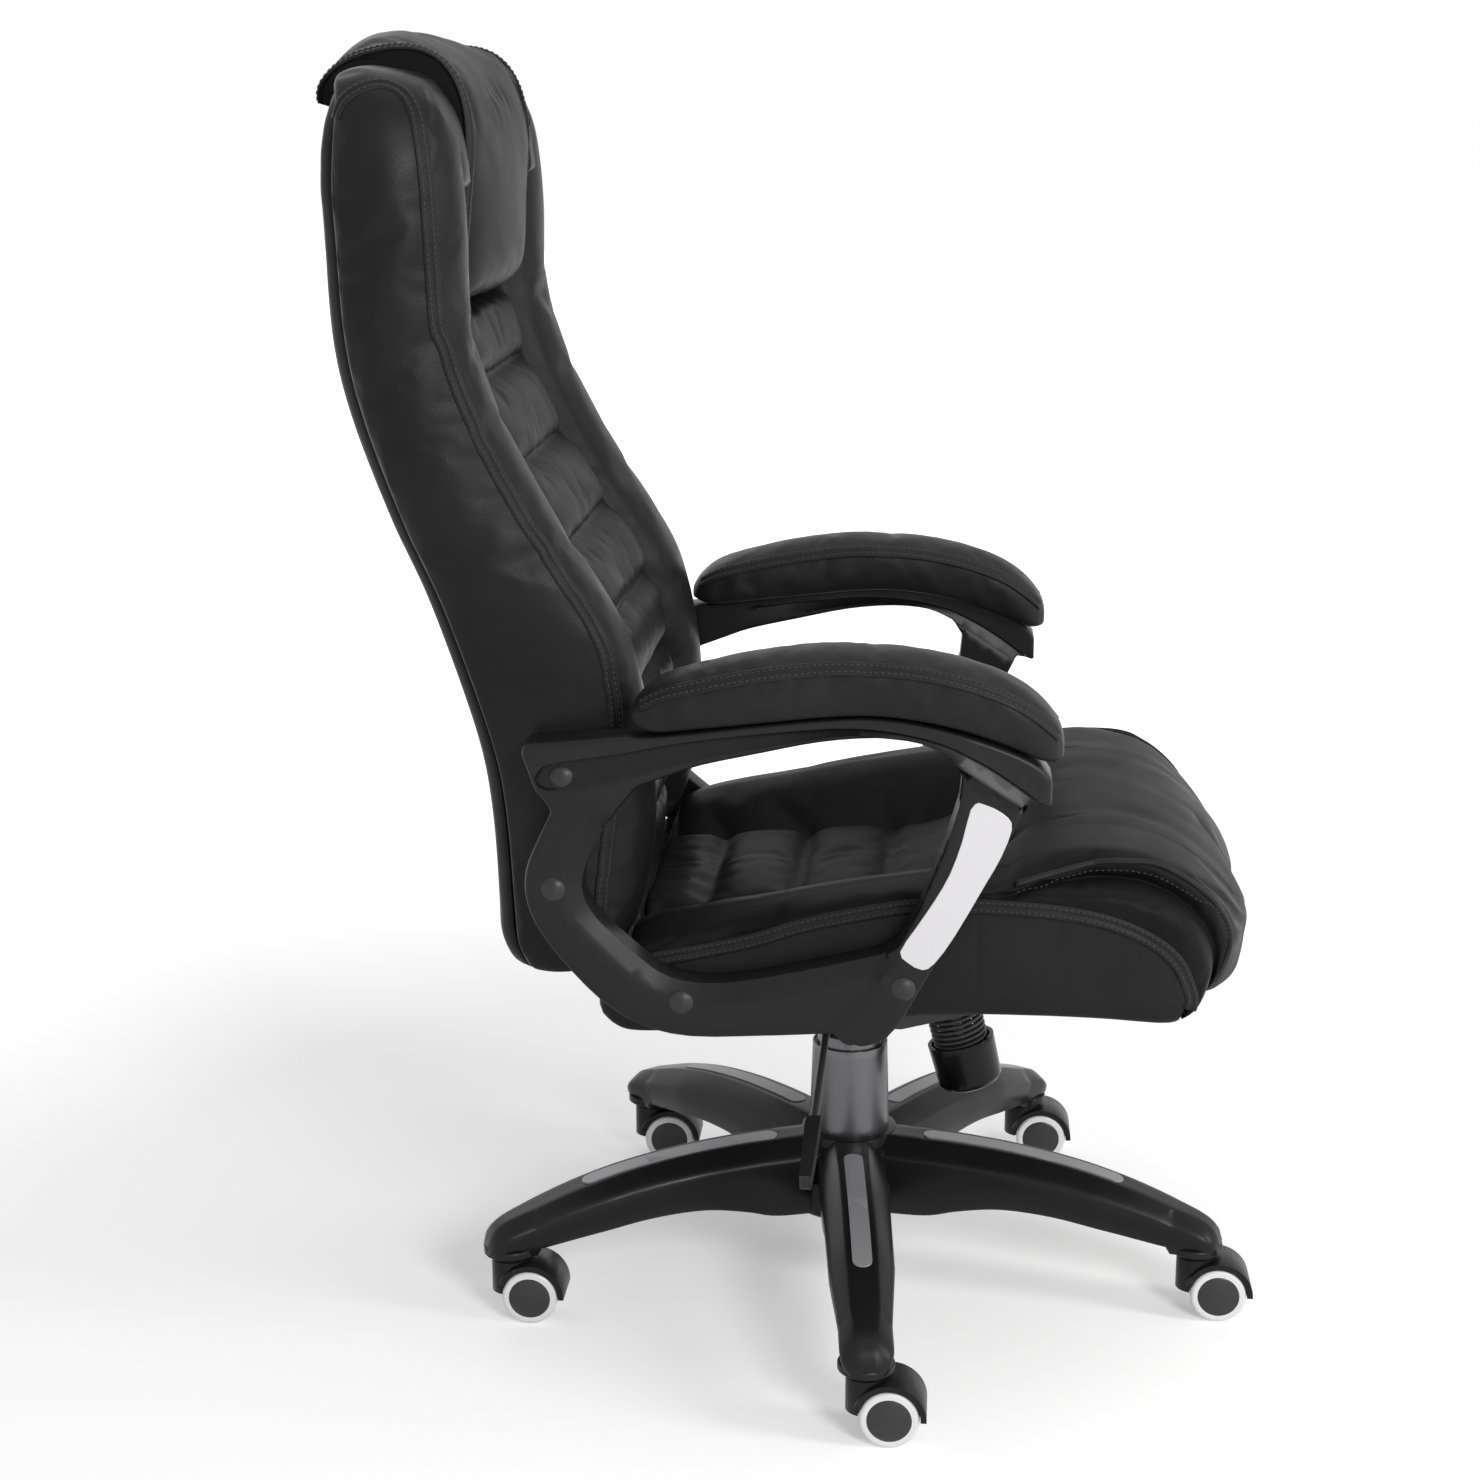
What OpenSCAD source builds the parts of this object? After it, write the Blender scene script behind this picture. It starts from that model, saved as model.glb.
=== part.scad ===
// Executive office chair on five twin-wheel casters, with a gas lift, a tilt mechanism and padded arms.
// X points forward, Y to the sitter's left and Z up. The origin is on the floor under the column.
// All sizes are in millimetres.

/* [Casters] */
// Diameter of a caster wheel
wheel_d = 50; // [47:0.5:53]
// Width of one caster wheel
wheel_w = 16; // [14:0.5:18]
// Diameter of the dark cap of a wheel
cap_d = 37.4; // [34:0.2:41]
// Height of the dome on a wheel's cap
cap_dome = 3; // [1.5:0.5:4]
// Distance that a wheel trails behind its stem
caster_trail = 20; // [19:0.5:22]
// Height of the foot of a leg above the floor
foot_z = 60.5; // [59.5:0.5:66]
// Diameter of a caster stem in its leg
stem_d = 11; // [10:0.5:12]
// Length of a caster stem in its leg
stem_l = 26; // [20:1:28]
// Diameter of a caster's tower
tower_d = 34; // [31:0.5:38]
// Width of the web between two wheels
web_w = 12; // [11:0.5:14]
// Diameter of a wheel axle
caster_axle_d = 6; // [5:0.5:8]
// Thickness of the hood over the wheels
hood_t = 5; // [3:0.5:5.5]

/* [Base] */
// Radius of the circle through the caster stems
stem_circle_r = 327; // [310:1:350]
// Turn of the base on the floor
base_turn = 4.9; // [0:0.1:20]
// Diameter of the hub of the base
hub_d = 112; // [104:1:124]
// Height of the top of the hub
hub_top = 142; // [138:1:150]
// Width of a leg beside the hub
leg_w = 62; // [54:1:66]
// Diameter of the foot of a leg
foot_d = 46; // [40:1:50]
// Width of an inlay strip
inlay_w = 17; // [12:1:22]
// Thickness of an inlay strip
inlay_t = 2; // [1.5:0.5:3]

/* [Gas lift] */
// Diameter of the stand tube
stand_d = 50; // [48:1:51]
// Wall of the stand tube
stand_wall = 2.5; // [2:0.5:4]
// Height of the top of the stand tube
stand_top = 216; // [205:1:220]
// Diameter of the pressure tube
tube_d = 28; // [27:0.5:30]
// Wall of the pressure tube
tube_wall = 2; // [1.5:0.5:3]
// Diameter of the piston rod
rod_d = 10; // [8:0.5:11]
// Outer diameter of the lower cover at its foot
cover_d = 74; // [72.5:0.5:80]
// Outer diameter of the lower cover at its top
cover_top_d = 69.4; // [69:0.1:72]
// Wall of each cover sleeve
cover_wall = 1.8; // [1.4:0.1:1.8]

/* [Mechanism] */
// Height of the bottom of the mechanism's socket
socket_z = 236; // [232:1:240]
// Diameter of the socket
socket_d = 42; // [38:1:46]
// Width of the steel pan
pan_w = 116; // [104:1:124]
// Height of the flat bottom of the pan
pan_z = 258; // [256:1:260]
// Thickness of the pan's steel
steel_t = 3; // [2:0.5:4]
// Distance of the tilt axle ahead of the column
tilt_x = 34; // [33:1:38]
// Height of the tilt axle
tilt_z = 296; // [294:1:300]
// Diameter of the tilt axle
tilt_axle_d = 12; // [10:0.5:13]
// Lean of the tension bolt
bolt_lean = 14.3; // [10:0.1:16]
// Diameter of the tension knob
knob_d = 62; // [60:0.5:70]
// Length of the tension knob
knob_l = 45; // [40:1:50]
// Depth of the cup in the knob
cup_depth = 26; // [22:1:28]
// Wall of the cup in the knob
cup_wall = 3.5; // [2.5:0.5:3.5]
// Diameter of the tension bolt
tension_bolt_d = 10; // [8:0.5:11]
// Diameter of the tension spring's wire
wire_d = 3.2; // [2.8:0.1:3.6]
// Outer diameter of the tension spring
spring_d = 51; // [47:0.5:52]
// Curls of the tension spring
spring_curls = 11; // [8:1:12]
// Diameter of the lever's rod
lever_d = 7; // [6:0.5:9]
// Slope of the lever below the horizontal
lever_slope = 19.8; // [16:0.1:22]
// Length of the lever's rod outside its cradle
lever_l = 158; // [120:1:180]
// Length of the lever's paddle
paddle_l = 80; // [60:1:100]
// Width of the lever's paddle
paddle_w = 13; // [11:0.5:22]
// Height of the lever's paddle
paddle_h = 17; // [12:0.5:20]

/* [Seat] */
// Width of the seat
seat_w = 500; // [480:1:540]
// Height of the top of the seat board
board_z = 349; // [347:1:365]
// Thickness of the seat board
board_t = 12; // [9:1:13]
// Length of the seat board behind the column
board_rear = 192; // [180:1:194]
// Length of the seat board ahead of the column
board_front = 262; // [240:1:264]
// Height of the board's side rails
rail_h = 46; // [42:1:46]
// Drop of the rails' tops towards the rear
rail_drop = 30; // [28:1:34]
// Thickness of the board's side rails
rail_t = 20; // [15:1:25]
// Thickness of the cushion's skirt beside the board
skirt_t = 22; // [16:1:26]
// Width of the tufted middle panel of the seat
seat_panel_w = 230; // [200:1:260]
// Distance between two seams across the seat
seat_pitch = 80; // [70:1:90]
// Depth of a sewn seam across the seat
seat_seam = 9; // [5:0.5:12]

/* [Back] */
// How much narrower the back is than the seat
back_narrower = 0; // [0:1:30]
// Thickness of the padded rear cover
rear_cover_t = 20; // [14:1:21]
// Thickness of the back board
back_board_t = 12; // [9:1:13]
// Width of the channelled middle panel of the back
back_panel_w = 296; // [240:1:310]
// Distance between two seams across the back
back_pitch = 71; // [60:1:80]
// Depth of a sewn seam across the back
back_seam = 15; // [8:0.5:17]
// Width of the head cushion
head_w = 300; // [260:1:310]
// Thickness of the head cushion in front
head_t = 46; // [38:1:48]

/* [Arms] */
// Thickness of an arm frame
arm_t = 36; // [28:1:42]
// Extra thickness of the front post of an arm
post_extra = 4; // [2:0.5:8]
// Width of an arm pad
pad_w = 76; // [60:1:84]
// Depth of the silver inlay in the front post
post_inlay_t = 3; // [2:0.5:3.5]
// Diameter of an arm bolt
arm_bolt_d = 8; // [6:0.5:9]
// Diameter of the cap over an arm bolt
bolt_cap_d = 20; // [16:0.5:23]

/* [Hidden] */
$fn = 48;
fit = 0.05;
slip = 0.3;
loose = 0.5;

// Colours
black_plastic = "#242527";
satin_grey = "#8e8e92";
steel = "#9a9ba0";
dark_steel = "#3a3b3e";
leather = "#1b1b1d";
silver = "#d9dadc";
white = "#f0f0f2";
plywood = "#b08a5a";
rubber = "#2b2b2b";

// Curve helpers: a smooth line through chosen points, and the point lists of closed shapes
function between(p0, p1, p2, p3, t) = 0.5 * (2 * p1 + (p2 - p0) * t + (2 * p0 - 5 * p1 + 4 * p2 - p3) * t * t
    + (3 * p1 - p0 - 3 * p2 + p3) * t * t * t);
function smooth(p, n) = [
    for (i = [0 : len(p) - 2])
        for (k = [0 : n - 1])
            between(p[max(i - 1, 0)], p[i], p[i + 1], p[min(i + 2, len(p) - 1)], k / n),
    p[len(p) - 1]
];
function flip(p) = [for (i = [len(p) - 1 : -1 : 0]) p[i]];
function arc(c, r, a0, a1, n) = [for (i = [0 : n]) c + r * [cos(a0 + (a1 - a0) * i / n), sin(a0 + (a1 - a0) * i / n)]];
function raise(p, dz) = [for (q = p) [q[0], q[1] + dz]];
function shift_x(p, dx) = [for (q = p) [q[0] + dx, q[1]]];
function swap(p) = [for (q = p) [q[1], q[0]]];
function mean(p) = [for (q = p) 1] * p / len(p);
function centre(ring) = [for (i = [0 : 2]) [for (q = ring) q[i]] * [for (q = ring) 1] / len(ring)];
function bell(d, w) = exp(-(d * d) / (w * w));
function unit(v) = v / norm(v);

// A closed skin over rings of points, with a fan on each end; other_way splits its squares along the other corner
module skin(rings, other_way = false) {
    n = len(rings[0]);
    m = len(rings);
    points = [for (r = rings) for (q = r) q];
    sides = [
        for (j = [0 : m - 2])
            for (i = [0 : n - 1])
                let (a = j * n + i, b = j * n + (i + 1) % n, c = a + n, d = b + n)
                    each other_way ? [[a, b, c], [b, d, c]] : [[a, b, d], [a, d, c]]
    ];
    low = [for (i = [0 : n - 1]) [m * n, (i + 1) % n, i]];
    high = [for (i = [0 : n - 1]) [m * n + 1, (m - 1) * n + i, (m - 1) * n + (i + 1) % n]];
    polyhedron(concat(points, [centre(rings[0]), centre(rings[m - 1])]), concat(sides, low, high), convexity = 8);
}

// A plate whose outline lies in the X-Z plane, from y0 to y1
module upright(outline, y0, y1) {
    translate([0, y1, 0])
        rotate([90, 0, 0])
            linear_extrude(y1 - y0)
                polygon(outline);
}

// Casters
axle_z = wheel_d / 2;
well_r = wheel_d / 2 + 0.8;
hood_r = well_r + hood_t;
flange_h = 4.7;
flange_d = stem_d + 6;
tower_top = foot_z - flange_h - slip;
lower_stem_d = 8;
stem_foot_z = axle_z + caster_axle_d / 2 + 5;
wheel_in = web_w / 2 + loose;
wheel_out = wheel_in + wheel_w;
tyre_round = 3;

module at_stem(k) {
    rotate([0, 0, base_turn - 90 + 72 * (k - 1)])
        translate([stem_circle_r, 0, 0])
            rotate([0, 0, 90 - base_turn - 72 * (k - 1)])
                children();
}

module across(x, z, r, y0, y1) {
    translate([x, y1, z])
        rotate([90, 0, 0])
            cylinder(r = r, h = y1 - y0);
}

module caster_stem() {
    translate([0, 0, stem_foot_z + slip])
        cylinder(d = lower_stem_d, h = foot_z - stem_foot_z - slip);
    translate([0, 0, foot_z - flange_h])
        cylinder(d = flange_d, h = flange_h);
    translate([0, 0, foot_z - 0.01])
        cylinder(d = stem_d, h = stem_l - 2);
    translate([0, 0, foot_z + stem_l - 2.02])
        cylinder(d1 = stem_d, d2 = stem_d - 3, h = 2);
}

module caster_stems() {
    color(steel)
        for (k = [1 : 5]) at_stem(k) caster_stem();
}

module hood_outline() {
    difference() {
        circle(r = hood_r);
        circle(r = well_r);
        translate([-2 * hood_r, -2 * hood_r - 1])
            square([4 * hood_r, 2 * hood_r]);
        rotate(-18)
            translate([-2 * hood_r, -2 * hood_r])
                square([2 * hood_r, 2 * hood_r]);
    }
}

module web_outline() {
    circle(d = caster_axle_d + 12);
    intersection() {
        circle(r = well_r + 1);
        translate([-hood_r, -3])
            square([2 * hood_r, 2 * hood_r]);
    }
}

module caster_housing(k) {
    color(black_plastic)
        at_stem(k)
            difference() {
                union() {
                    difference() {
                        union() {
                            translate([0, 0, axle_z])
                                cylinder(d = tower_d, h = tower_top - axle_z);
                            translate([caster_trail, wheel_out, axle_z])
                                rotate([90, 0, 0])
                                    linear_extrude(2 * wheel_out)
                                        hood_outline();
                        }
                        across(caster_trail, axle_z, well_r, -wheel_out - 1, wheel_out + 1);
                    }
                    translate([caster_trail, web_w / 2, axle_z])
                        rotate([90, 0, 0])
                            linear_extrude(web_w)
                                web_outline();
                }
                translate([0, 0, stem_foot_z])
                    cylinder(d = lower_stem_d + 2 * fit, h = foot_z);
                across(caster_trail, axle_z, caster_axle_d / 2 + fit, -web_w, web_w);
            }
}

module caster_axle(k) {
    color(steel)
        at_stem(k)
            across(caster_trail, axle_z, caster_axle_d / 2, 2 - wheel_out, wheel_out - 2);
}

module wheel_hub(side) {
    dome_r = (cap_d * cap_d / 4 + cap_dome * cap_dome) / (2 * cap_dome);
    rotate([90 * side, 0, 0])
        difference() {
            union() {
                translate([0, 0, -wheel_out])
                    cylinder(d = cap_d, h = wheel_w);
                intersection() {
                    translate([0, 0, -wheel_out - cap_dome + dome_r])
                        sphere(r = dome_r, $fn = 64);
                    translate([0, 0, -wheel_out - cap_dome])
                        cylinder(d = cap_d, h = cap_dome + 1);
                }
            }
            translate([0, 0, -wheel_out + 2 - fit])
                cylinder(d = caster_axle_d + 2 * fit, h = wheel_out);
        }
}

module caster_hubs(k) {
    color(black_plastic)
        at_stem(k)
            translate([caster_trail, 0, axle_z])
                for (side = [-1, 1]) wheel_hub(side);
}

module tyre(side) {
    r0 = cap_d / 2 + fit;
    r1 = wheel_d / 2;
    profile = concat(
        [[r0, wheel_in], [r1 - tyre_round, wheel_in]],
        arc([r1 - tyre_round, wheel_in + tyre_round], tyre_round, -90, 0, 4),
        arc([r1 - tyre_round, wheel_out - tyre_round], tyre_round, 0, 90, 4),
        [[r0, wheel_out]]
    );
    rotate([-90 * side, 0, 0])
        rotate_extrude($fn = 96)
            polygon(profile);
}

module caster_tyres(k) {
    color(white)
        at_stem(k)
            translate([caster_trail, 0, axle_z])
                for (side = [-1, 1]) tyre(side);
}

// Base
hub_z = foot_z + 5.5;
leg_end = stem_circle_r + foot_d / 2;
leg_line = smooth([
    [0, hub_top - 1], [60, hub_top - 1], [107, hub_top - 1.5], [160, hub_top - 5], [216, hub_top - 13],
    [265, hub_top - 25], [stem_circle_r - 17, foot_z + 40], [stem_circle_r + 8, foot_z + 29],
    [leg_end - 5, foot_z + 17], [leg_end, foot_z + 4]
], 3);
leg_belly = smooth([
    [stem_circle_r - foot_d / 2 + 1, foot_z + 6], [245, foot_z + 17], [197, foot_z + 24], [150, foot_z + 25],
    [110, foot_z + 18], [80, foot_z + 10]
], 3);
leg_side = concat(leg_line, [
    [leg_end - 1, foot_z], [stem_circle_r - foot_d / 2 + 1, foot_z]
], leg_belly, [[0, hub_z + 2]]);
leg_plan = concat(
    [[0, -leg_w / 2], [110, -leg_w / 2], [240, -leg_w / 2 + 2]],
    arc([stem_circle_r, 0], foot_d / 2, -90, 90, 12),
    [[240, leg_w / 2 - 2], [110, leg_w / 2], [0, leg_w / 2]]
);
inlay_from = 72;
inlay_to = stem_circle_r - 68;
inlay_proud = 0.8;

module leg_direction(k) {
    rotate([0, 0, base_turn - 90 + 72 * (k - 1)])
        children();
}

module strip_plan(extra) {
    r = inlay_w / 2 + extra;
    translate([inlay_from + inlay_w / 2, 0])
        circle(r = r);
    translate([inlay_to - inlay_w / 2, 0])
        circle(r = r);
    translate([inlay_from + inlay_w / 2, -r])
        square([inlay_to - inlay_from - inlay_w, 2 * r]);
}

module strip(extra, low, high) {
    reach = [for (q = leg_line) if (q[0] >= 60 && q[0] < stem_circle_r) q];
    band = concat(raise(reach, high), flip(raise(reach, low)));
    intersection() {
        upright(band, -leg_w / 2, leg_w / 2);
        linear_extrude(2 * hub_top)
            strip_plan(extra);
    }
}

module leg() {
    intersection() {
        upright(leg_side, -leg_w / 2, leg_w / 2);
        linear_extrude(2 * hub_top)
            polygon(leg_plan);
    }
}

module base_star() {
    color(black_plastic)
        difference() {
            union() {
                translate([0, 0, hub_z])
                    cylinder(d = hub_d, h = hub_top - 8 - hub_z);
                translate([0, 0, hub_top - 8])
                    cylinder(d1 = hub_d, d2 = cover_d + 12, h = 8);
                for (k = [1 : 5])
                    leg_direction(k)
                        difference() {
                            leg();
                            strip(0.15, inlay_proud - inlay_t - fit, 10);
                            translate([stem_circle_r, 0, foot_z - 1])
                                cylinder(d = stem_d + 2 * fit, h = stem_l + 1.2);
                        }
            }
            translate([0, 0, hub_z - 1])
                cylinder(d1 = stand_d - 2 + 2 * fit, d2 = stand_d + 2 * fit, h = hub_top - hub_z + 2);
        }
}

module base_inlays() {
    color(satin_grey)
        for (k = [1 : 5])
            leg_direction(k)
                strip(0, inlay_proud - inlay_t, inlay_proud);
}

// Gas lift
plate_t = 4;
stand_foot = hub_z - plate_t;
bearing_h = 7.2;
collar_z = hub_z + bearing_h + slip;
collar_h = 2.5;
tube_foot = hub_z + 26;
tube_top = socket_z + 55;
piston_z = socket_z + 19;
bush_l = 90;
bush_flange = 2;
bump_top = tube_foot - slip;
pin_d = 7;
pin_top = tube_top + 6;
rod_hole = rod_d + 2;

module tube(d, wall, z0, z1) {
    translate([0, 0, z0])
        difference() {
            cylinder(d = d, h = z1 - z0);
            translate([0, 0, -1])
                cylinder(d = d - 2 * wall, h = z1 - z0 + 2);
        }
}

module ring(d, hole, z0, z1) {
    tube(d, (d - hole) / 2, z0, z1);
}

module gas_stand_tube() {
    color(dark_steel)
        difference() {
            union() {
                translate([0, 0, hub_z - 1])
                    cylinder(d1 = stand_d - 2, d2 = stand_d, h = hub_top - hub_z + 2);
                translate([0, 0, stand_foot])
                    cylinder(d = stand_d - 4, h = plate_t);
                translate([0, 0, hub_top])
                    cylinder(d = stand_d, h = stand_top - hub_top);
            }
            translate([0, 0, hub_z])
                cylinder(d = stand_d - 2 - 2 * stand_wall, h = stand_top);
            translate([0, 0, stand_foot - 1])
                cylinder(d = rod_hole, h = plate_t + 2);
        }
}

module gas_guide_bush() {
    color(white)
        difference() {
            union() {
                translate([0, 0, stand_top - bush_l])
                    cylinder(d = stand_d - 2 - 2 * stand_wall - 2 * fit, h = bush_l + 1);
                translate([0, 0, stand_top])
                    cylinder(d = stand_d, h = bush_flange);
            }
            translate([0, 0, stand_top - bush_l - 1])
                cylinder(d = tube_d + 2 * fit, h = bush_l + 5);
        }
}

module thrust_bearing() {
    race_t = 1.5;
    ball_d = bearing_h - 2 * race_t - 2 * fit;
    color(steel) {
        ring(rod_d + 18, rod_hole, hub_z, hub_z + race_t);
        ring(rod_d + 18, rod_hole, hub_z + bearing_h - race_t, hub_z + bearing_h);
        for (i = [0 : 7])
            rotate([0, 0, 45 * i])
                translate([rod_d / 2 + 5, 0, hub_z + bearing_h / 2])
                    sphere(d = ball_d);
    }
}

module gas_piston_rod() {
    color(steel) {
        translate([0, 0, stand_foot - 5])
            cylinder(d = rod_d, h = piston_z - stand_foot + 6);
        translate([0, 0, collar_z])
            cylinder(d = rod_d + 14, h = collar_h);
        translate([0, 0, piston_z])
            cylinder(d = tube_d - 2 * tube_wall - 4 * fit, h = 7);
        ring(rod_d + 8, rod_d + 2 * fit, stand_foot - 2.6, stand_foot - 0.6);
    }
}

module bump_stop() {
    color(rubber)
        ring(rod_d + 12, rod_d + 2 * fit, collar_z + collar_h, bump_top);
}

module gas_pressure_tube() {
    color(dark_steel)
        difference() {
            union() {
                translate([0, 0, tube_foot])
                    cylinder(d = tube_d, h = socket_z + 6 - tube_foot);
                translate([0, 0, socket_z + 6])
                    cylinder(d1 = tube_d, d2 = tube_d - 1.6, h = tube_top - socket_z - 6);
            }
            translate([0, 0, tube_foot - 1])
                cylinder(d = rod_d + 2 * fit, h = 10);
            translate([0, 0, tube_foot + 5])
                cylinder(d = tube_d - 2 * tube_wall, h = tube_top - tube_foot - 26);
            translate([0, 0, pin_top - 15])
                cylinder(d = pin_d + 2 * fit, h = 20);
        }
}

module gas_valve_pin() {
    color(steel)
        translate([0, 0, pin_top - 10])
            cylinder(d = pin_d, h = 10);
}

// Column cover: three sleeves, each inside the one below
lower_in = cover_top_d - 2 * cover_wall;
middle_d = lower_in - 2 * 0.4;
upper_d = middle_d - 2 * cover_wall - 2 * 0.4;

module cover_lower() {
    color(satin_grey)
        difference() {
            translate([0, 0, hub_top])
                cylinder(d1 = cover_d, d2 = cover_top_d, h = stand_top + 10 - hub_top);
            translate([0, 0, hub_top - 1])
                cylinder(d = lower_in, h = stand_top + 12 - hub_top);
        }
}

module cover_middle() {
    color(satin_grey)
        tube(middle_d, cover_wall, hub_top + 0.4, stand_top + 9);
}

module cover_upper() {
    color(satin_grey) {
        tube(upper_d, cover_wall, hub_top + 1, socket_z);
        ring(upper_d - 1, tube_d + 2 * fit, socket_z - 4, socket_z);
    }
}

// Tilt mechanism: a steel pan on the gas lift, with the tilt axle across it
rim_x = 102.1;
rim_z = socket_z - 6;
spring_top = 40.4;
pan_rear = -46;
pan_front = 128;
slope_x = rim_x - spring_top * sin(bolt_lean);
slope_z = rim_z + spring_top * cos(bolt_lean);
knee_x = slope_x - (slope_z - pan_z) / tan(bolt_lean);
nose_z = slope_z + (pan_front - slope_x) * tan(bolt_lean);
pan_side = [
    [pan_rear, pan_z + 5], [pan_rear + 6, pan_z], [knee_x, pan_z], [pan_front, nose_z],
    [pan_front, tilt_z + 4], [tilt_x + 26, tilt_z + 12], [tilt_x - 14, tilt_z + 12], [pan_rear, tilt_z - 4]
];
pan_inside = [
    [pan_rear + steel_t, pan_z + 5 + steel_t], [pan_rear + 6 + steel_t, pan_z + steel_t],
    [knee_x - 0.4, pan_z + steel_t], [pan_front - steel_t, nose_z + 2.4],
    [pan_front - steel_t, tilt_z + 40], [pan_rear + steel_t, tilt_z + 40]
];
lever_x = -17;
lever_inset = 18;
lever_y = -pan_w / 2 + lever_inset;
lever_pin_z = socket_z + 50;
lever_z = socket_z + 40;
lever_yaw = 2.5;
pivot_d = 5;
slot_from = -4;
slot_to = 15;
slot_r = tension_bolt_d / 2 + 1.2;

module on_bolt_axis() {
    translate([rim_x, 0, rim_z])
        rotate([0, -bolt_lean, 0])
            children();
}

module on_lever(y0) {
    translate([lever_x, lever_y, lever_z])
        rotate([0, 0, -lever_yaw])
            rotate([lever_slope, 0, 0])
                translate([0, y0, 0])
                    children();
}

module mechanism_housing() {
    wall_drop = (pan_w / 2 + lever_y) * tan(lever_slope);
    color(dark_steel)
        difference() {
            union() {
                difference() {
                    upright(pan_side, -pan_w / 2, pan_w / 2);
                    upright(pan_inside, -pan_w / 2 + steel_t, pan_w / 2 - steel_t);
                }
                translate([0, 0, socket_z])
                    cylinder(d = socket_d, h = tube_top - socket_z);
                for (x = [lever_x - 14, lever_x + 11])
                    translate([x, lever_y - 6, pan_z])
                        cube([3, 12, lever_pin_z + 5 - pan_z]);
            }
            translate([0, 0, socket_z - 1])
                cylinder(d = tube_d + 2 * fit, h = 7);
            translate([0, 0, socket_z + 6 - fit])
                cylinder(d1 = tube_d + 2 * fit, d2 = tube_d - 1.6 + 2 * fit, h = tube_top - socket_z - 5.9);
            across(tilt_x, tilt_z, tilt_axle_d / 2 + fit, -pan_w, pan_w);
            translate([lever_x - 20, lever_y, lever_pin_z])
                rotate([0, 90, 0])
                    cylinder(d = pivot_d + 2 * fit, h = 40);
            across(lever_x - 0.7, lever_z - wall_drop + 0.8, lever_d / 2 + 3.4, -pan_w / 2 - 1, -pan_w / 2 + steel_t + 1);
            on_bolt_axis()
                translate([0, 0, spring_top - 8])
                    linear_extrude(20) {
                        translate([slot_from + slot_r - tension_bolt_d / 2, 0])
                            circle(r = slot_r);
                        translate([slot_to, 0])
                            circle(r = slot_r);
                        translate([slot_from + slot_r - tension_bolt_d / 2, -slot_r])
                            square([slot_to - slot_from - slot_r + tension_bolt_d / 2, 2 * slot_r]);
                    }
        }
}

ear_t = steel_t;
ear_gap = slip;
ear_out = pan_w / 2 + ear_gap + ear_t;

module tilt_axle() {
    color(steel) {
        across(tilt_x, tilt_z, tilt_axle_d / 2, -ear_out - 3, ear_out + 3);
        for (side = [-1, 1])
            across(tilt_x, tilt_z, tilt_axle_d / 2 + 3, side * (ear_out + 3.5) - 3, side * (ear_out + 3.5) + 3);
    }
}

module lever_pivot_pin() {
    color(steel)
        translate([lever_x - 15, lever_y, lever_pin_z])
            rotate([0, 90, 0])
                cylinder(d = pivot_d, h = 30);
}

finger_z = pin_top + slip;
cradle_half = 10;

module lever_cradle() {
    color(dark_steel)
        difference() {
            union() {
                translate([lever_x - cradle_half, lever_y - 12, lever_z - 7])
                    cube([2 * cradle_half, 24, finger_z + 3 - lever_z + 7]);
                translate([0, 0, finger_z])
                    linear_extrude(3)
                        polygon([
                            [lever_x - cradle_half, lever_y - 12], [lever_x + cradle_half, lever_y - 12],
                            [lever_x + cradle_half, lever_y + 10], [5, -6], [5, 5], [-5, 5],
                            [lever_x - cradle_half, lever_y + 14]
                        ]);
            }
            translate([lever_x - 20, lever_y, lever_pin_z])
                rotate([0, 90, 0])
                    cylinder(d = pivot_d + 2 * fit, h = 40);
            on_lever(30)
                rotate([90, 0, 0])
                    cylinder(d = lever_d + 2 * fit, h = 60);
        }
}

module lever_rod() {
    color(black_plastic)
        on_lever(8)
            rotate([90, 0, 0])
                cylinder(d = lever_d, h = lever_l + 20);
}

module lever_paddle() {
    end_w = paddle_w - 3;
    color(black_plastic)
        on_lever(-lever_l)
            rotate([90, 0, 0])
                difference() {
                    hull() {
                        translate([0, 0, 0])
                            scaled_pill(paddle_w - 1, lever_d + 4, 4);
                        translate([0, 0, 10])
                            scaled_pill(paddle_w, paddle_h, 4);
                        translate([0, 0, paddle_l - 4])
                            scaled_pill(end_w, paddle_h - 2, 4);
                    }
                    translate([0, 0, -1])
                        cylinder(d = lever_d + 2 * fit, h = 13.1);
                }
}

module scaled_pill(w, h, t) {
    linear_extrude(t)
        square([w - 4, h - 4], center = true);
    translate([0, 0, 1])
        linear_extrude(t - 2)
            square([w, h], center = true);
}

// Tension bolt, spring and knob, all on one leaning axis
yoke_w = 84.6;
washer_t = 2.5;
knob_floor = -cup_depth;
spring_foot = knob_floor + washer_t + slip;
spring_end = spring_top - slip;
wound_r = (spring_d - wire_d) / 2;
wound_from = spring_foot + wire_d;
wound_to = spring_end - wire_d;
wound_rise = (wound_to - wound_from) / spring_curls;
curl_steps = 8;

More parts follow.
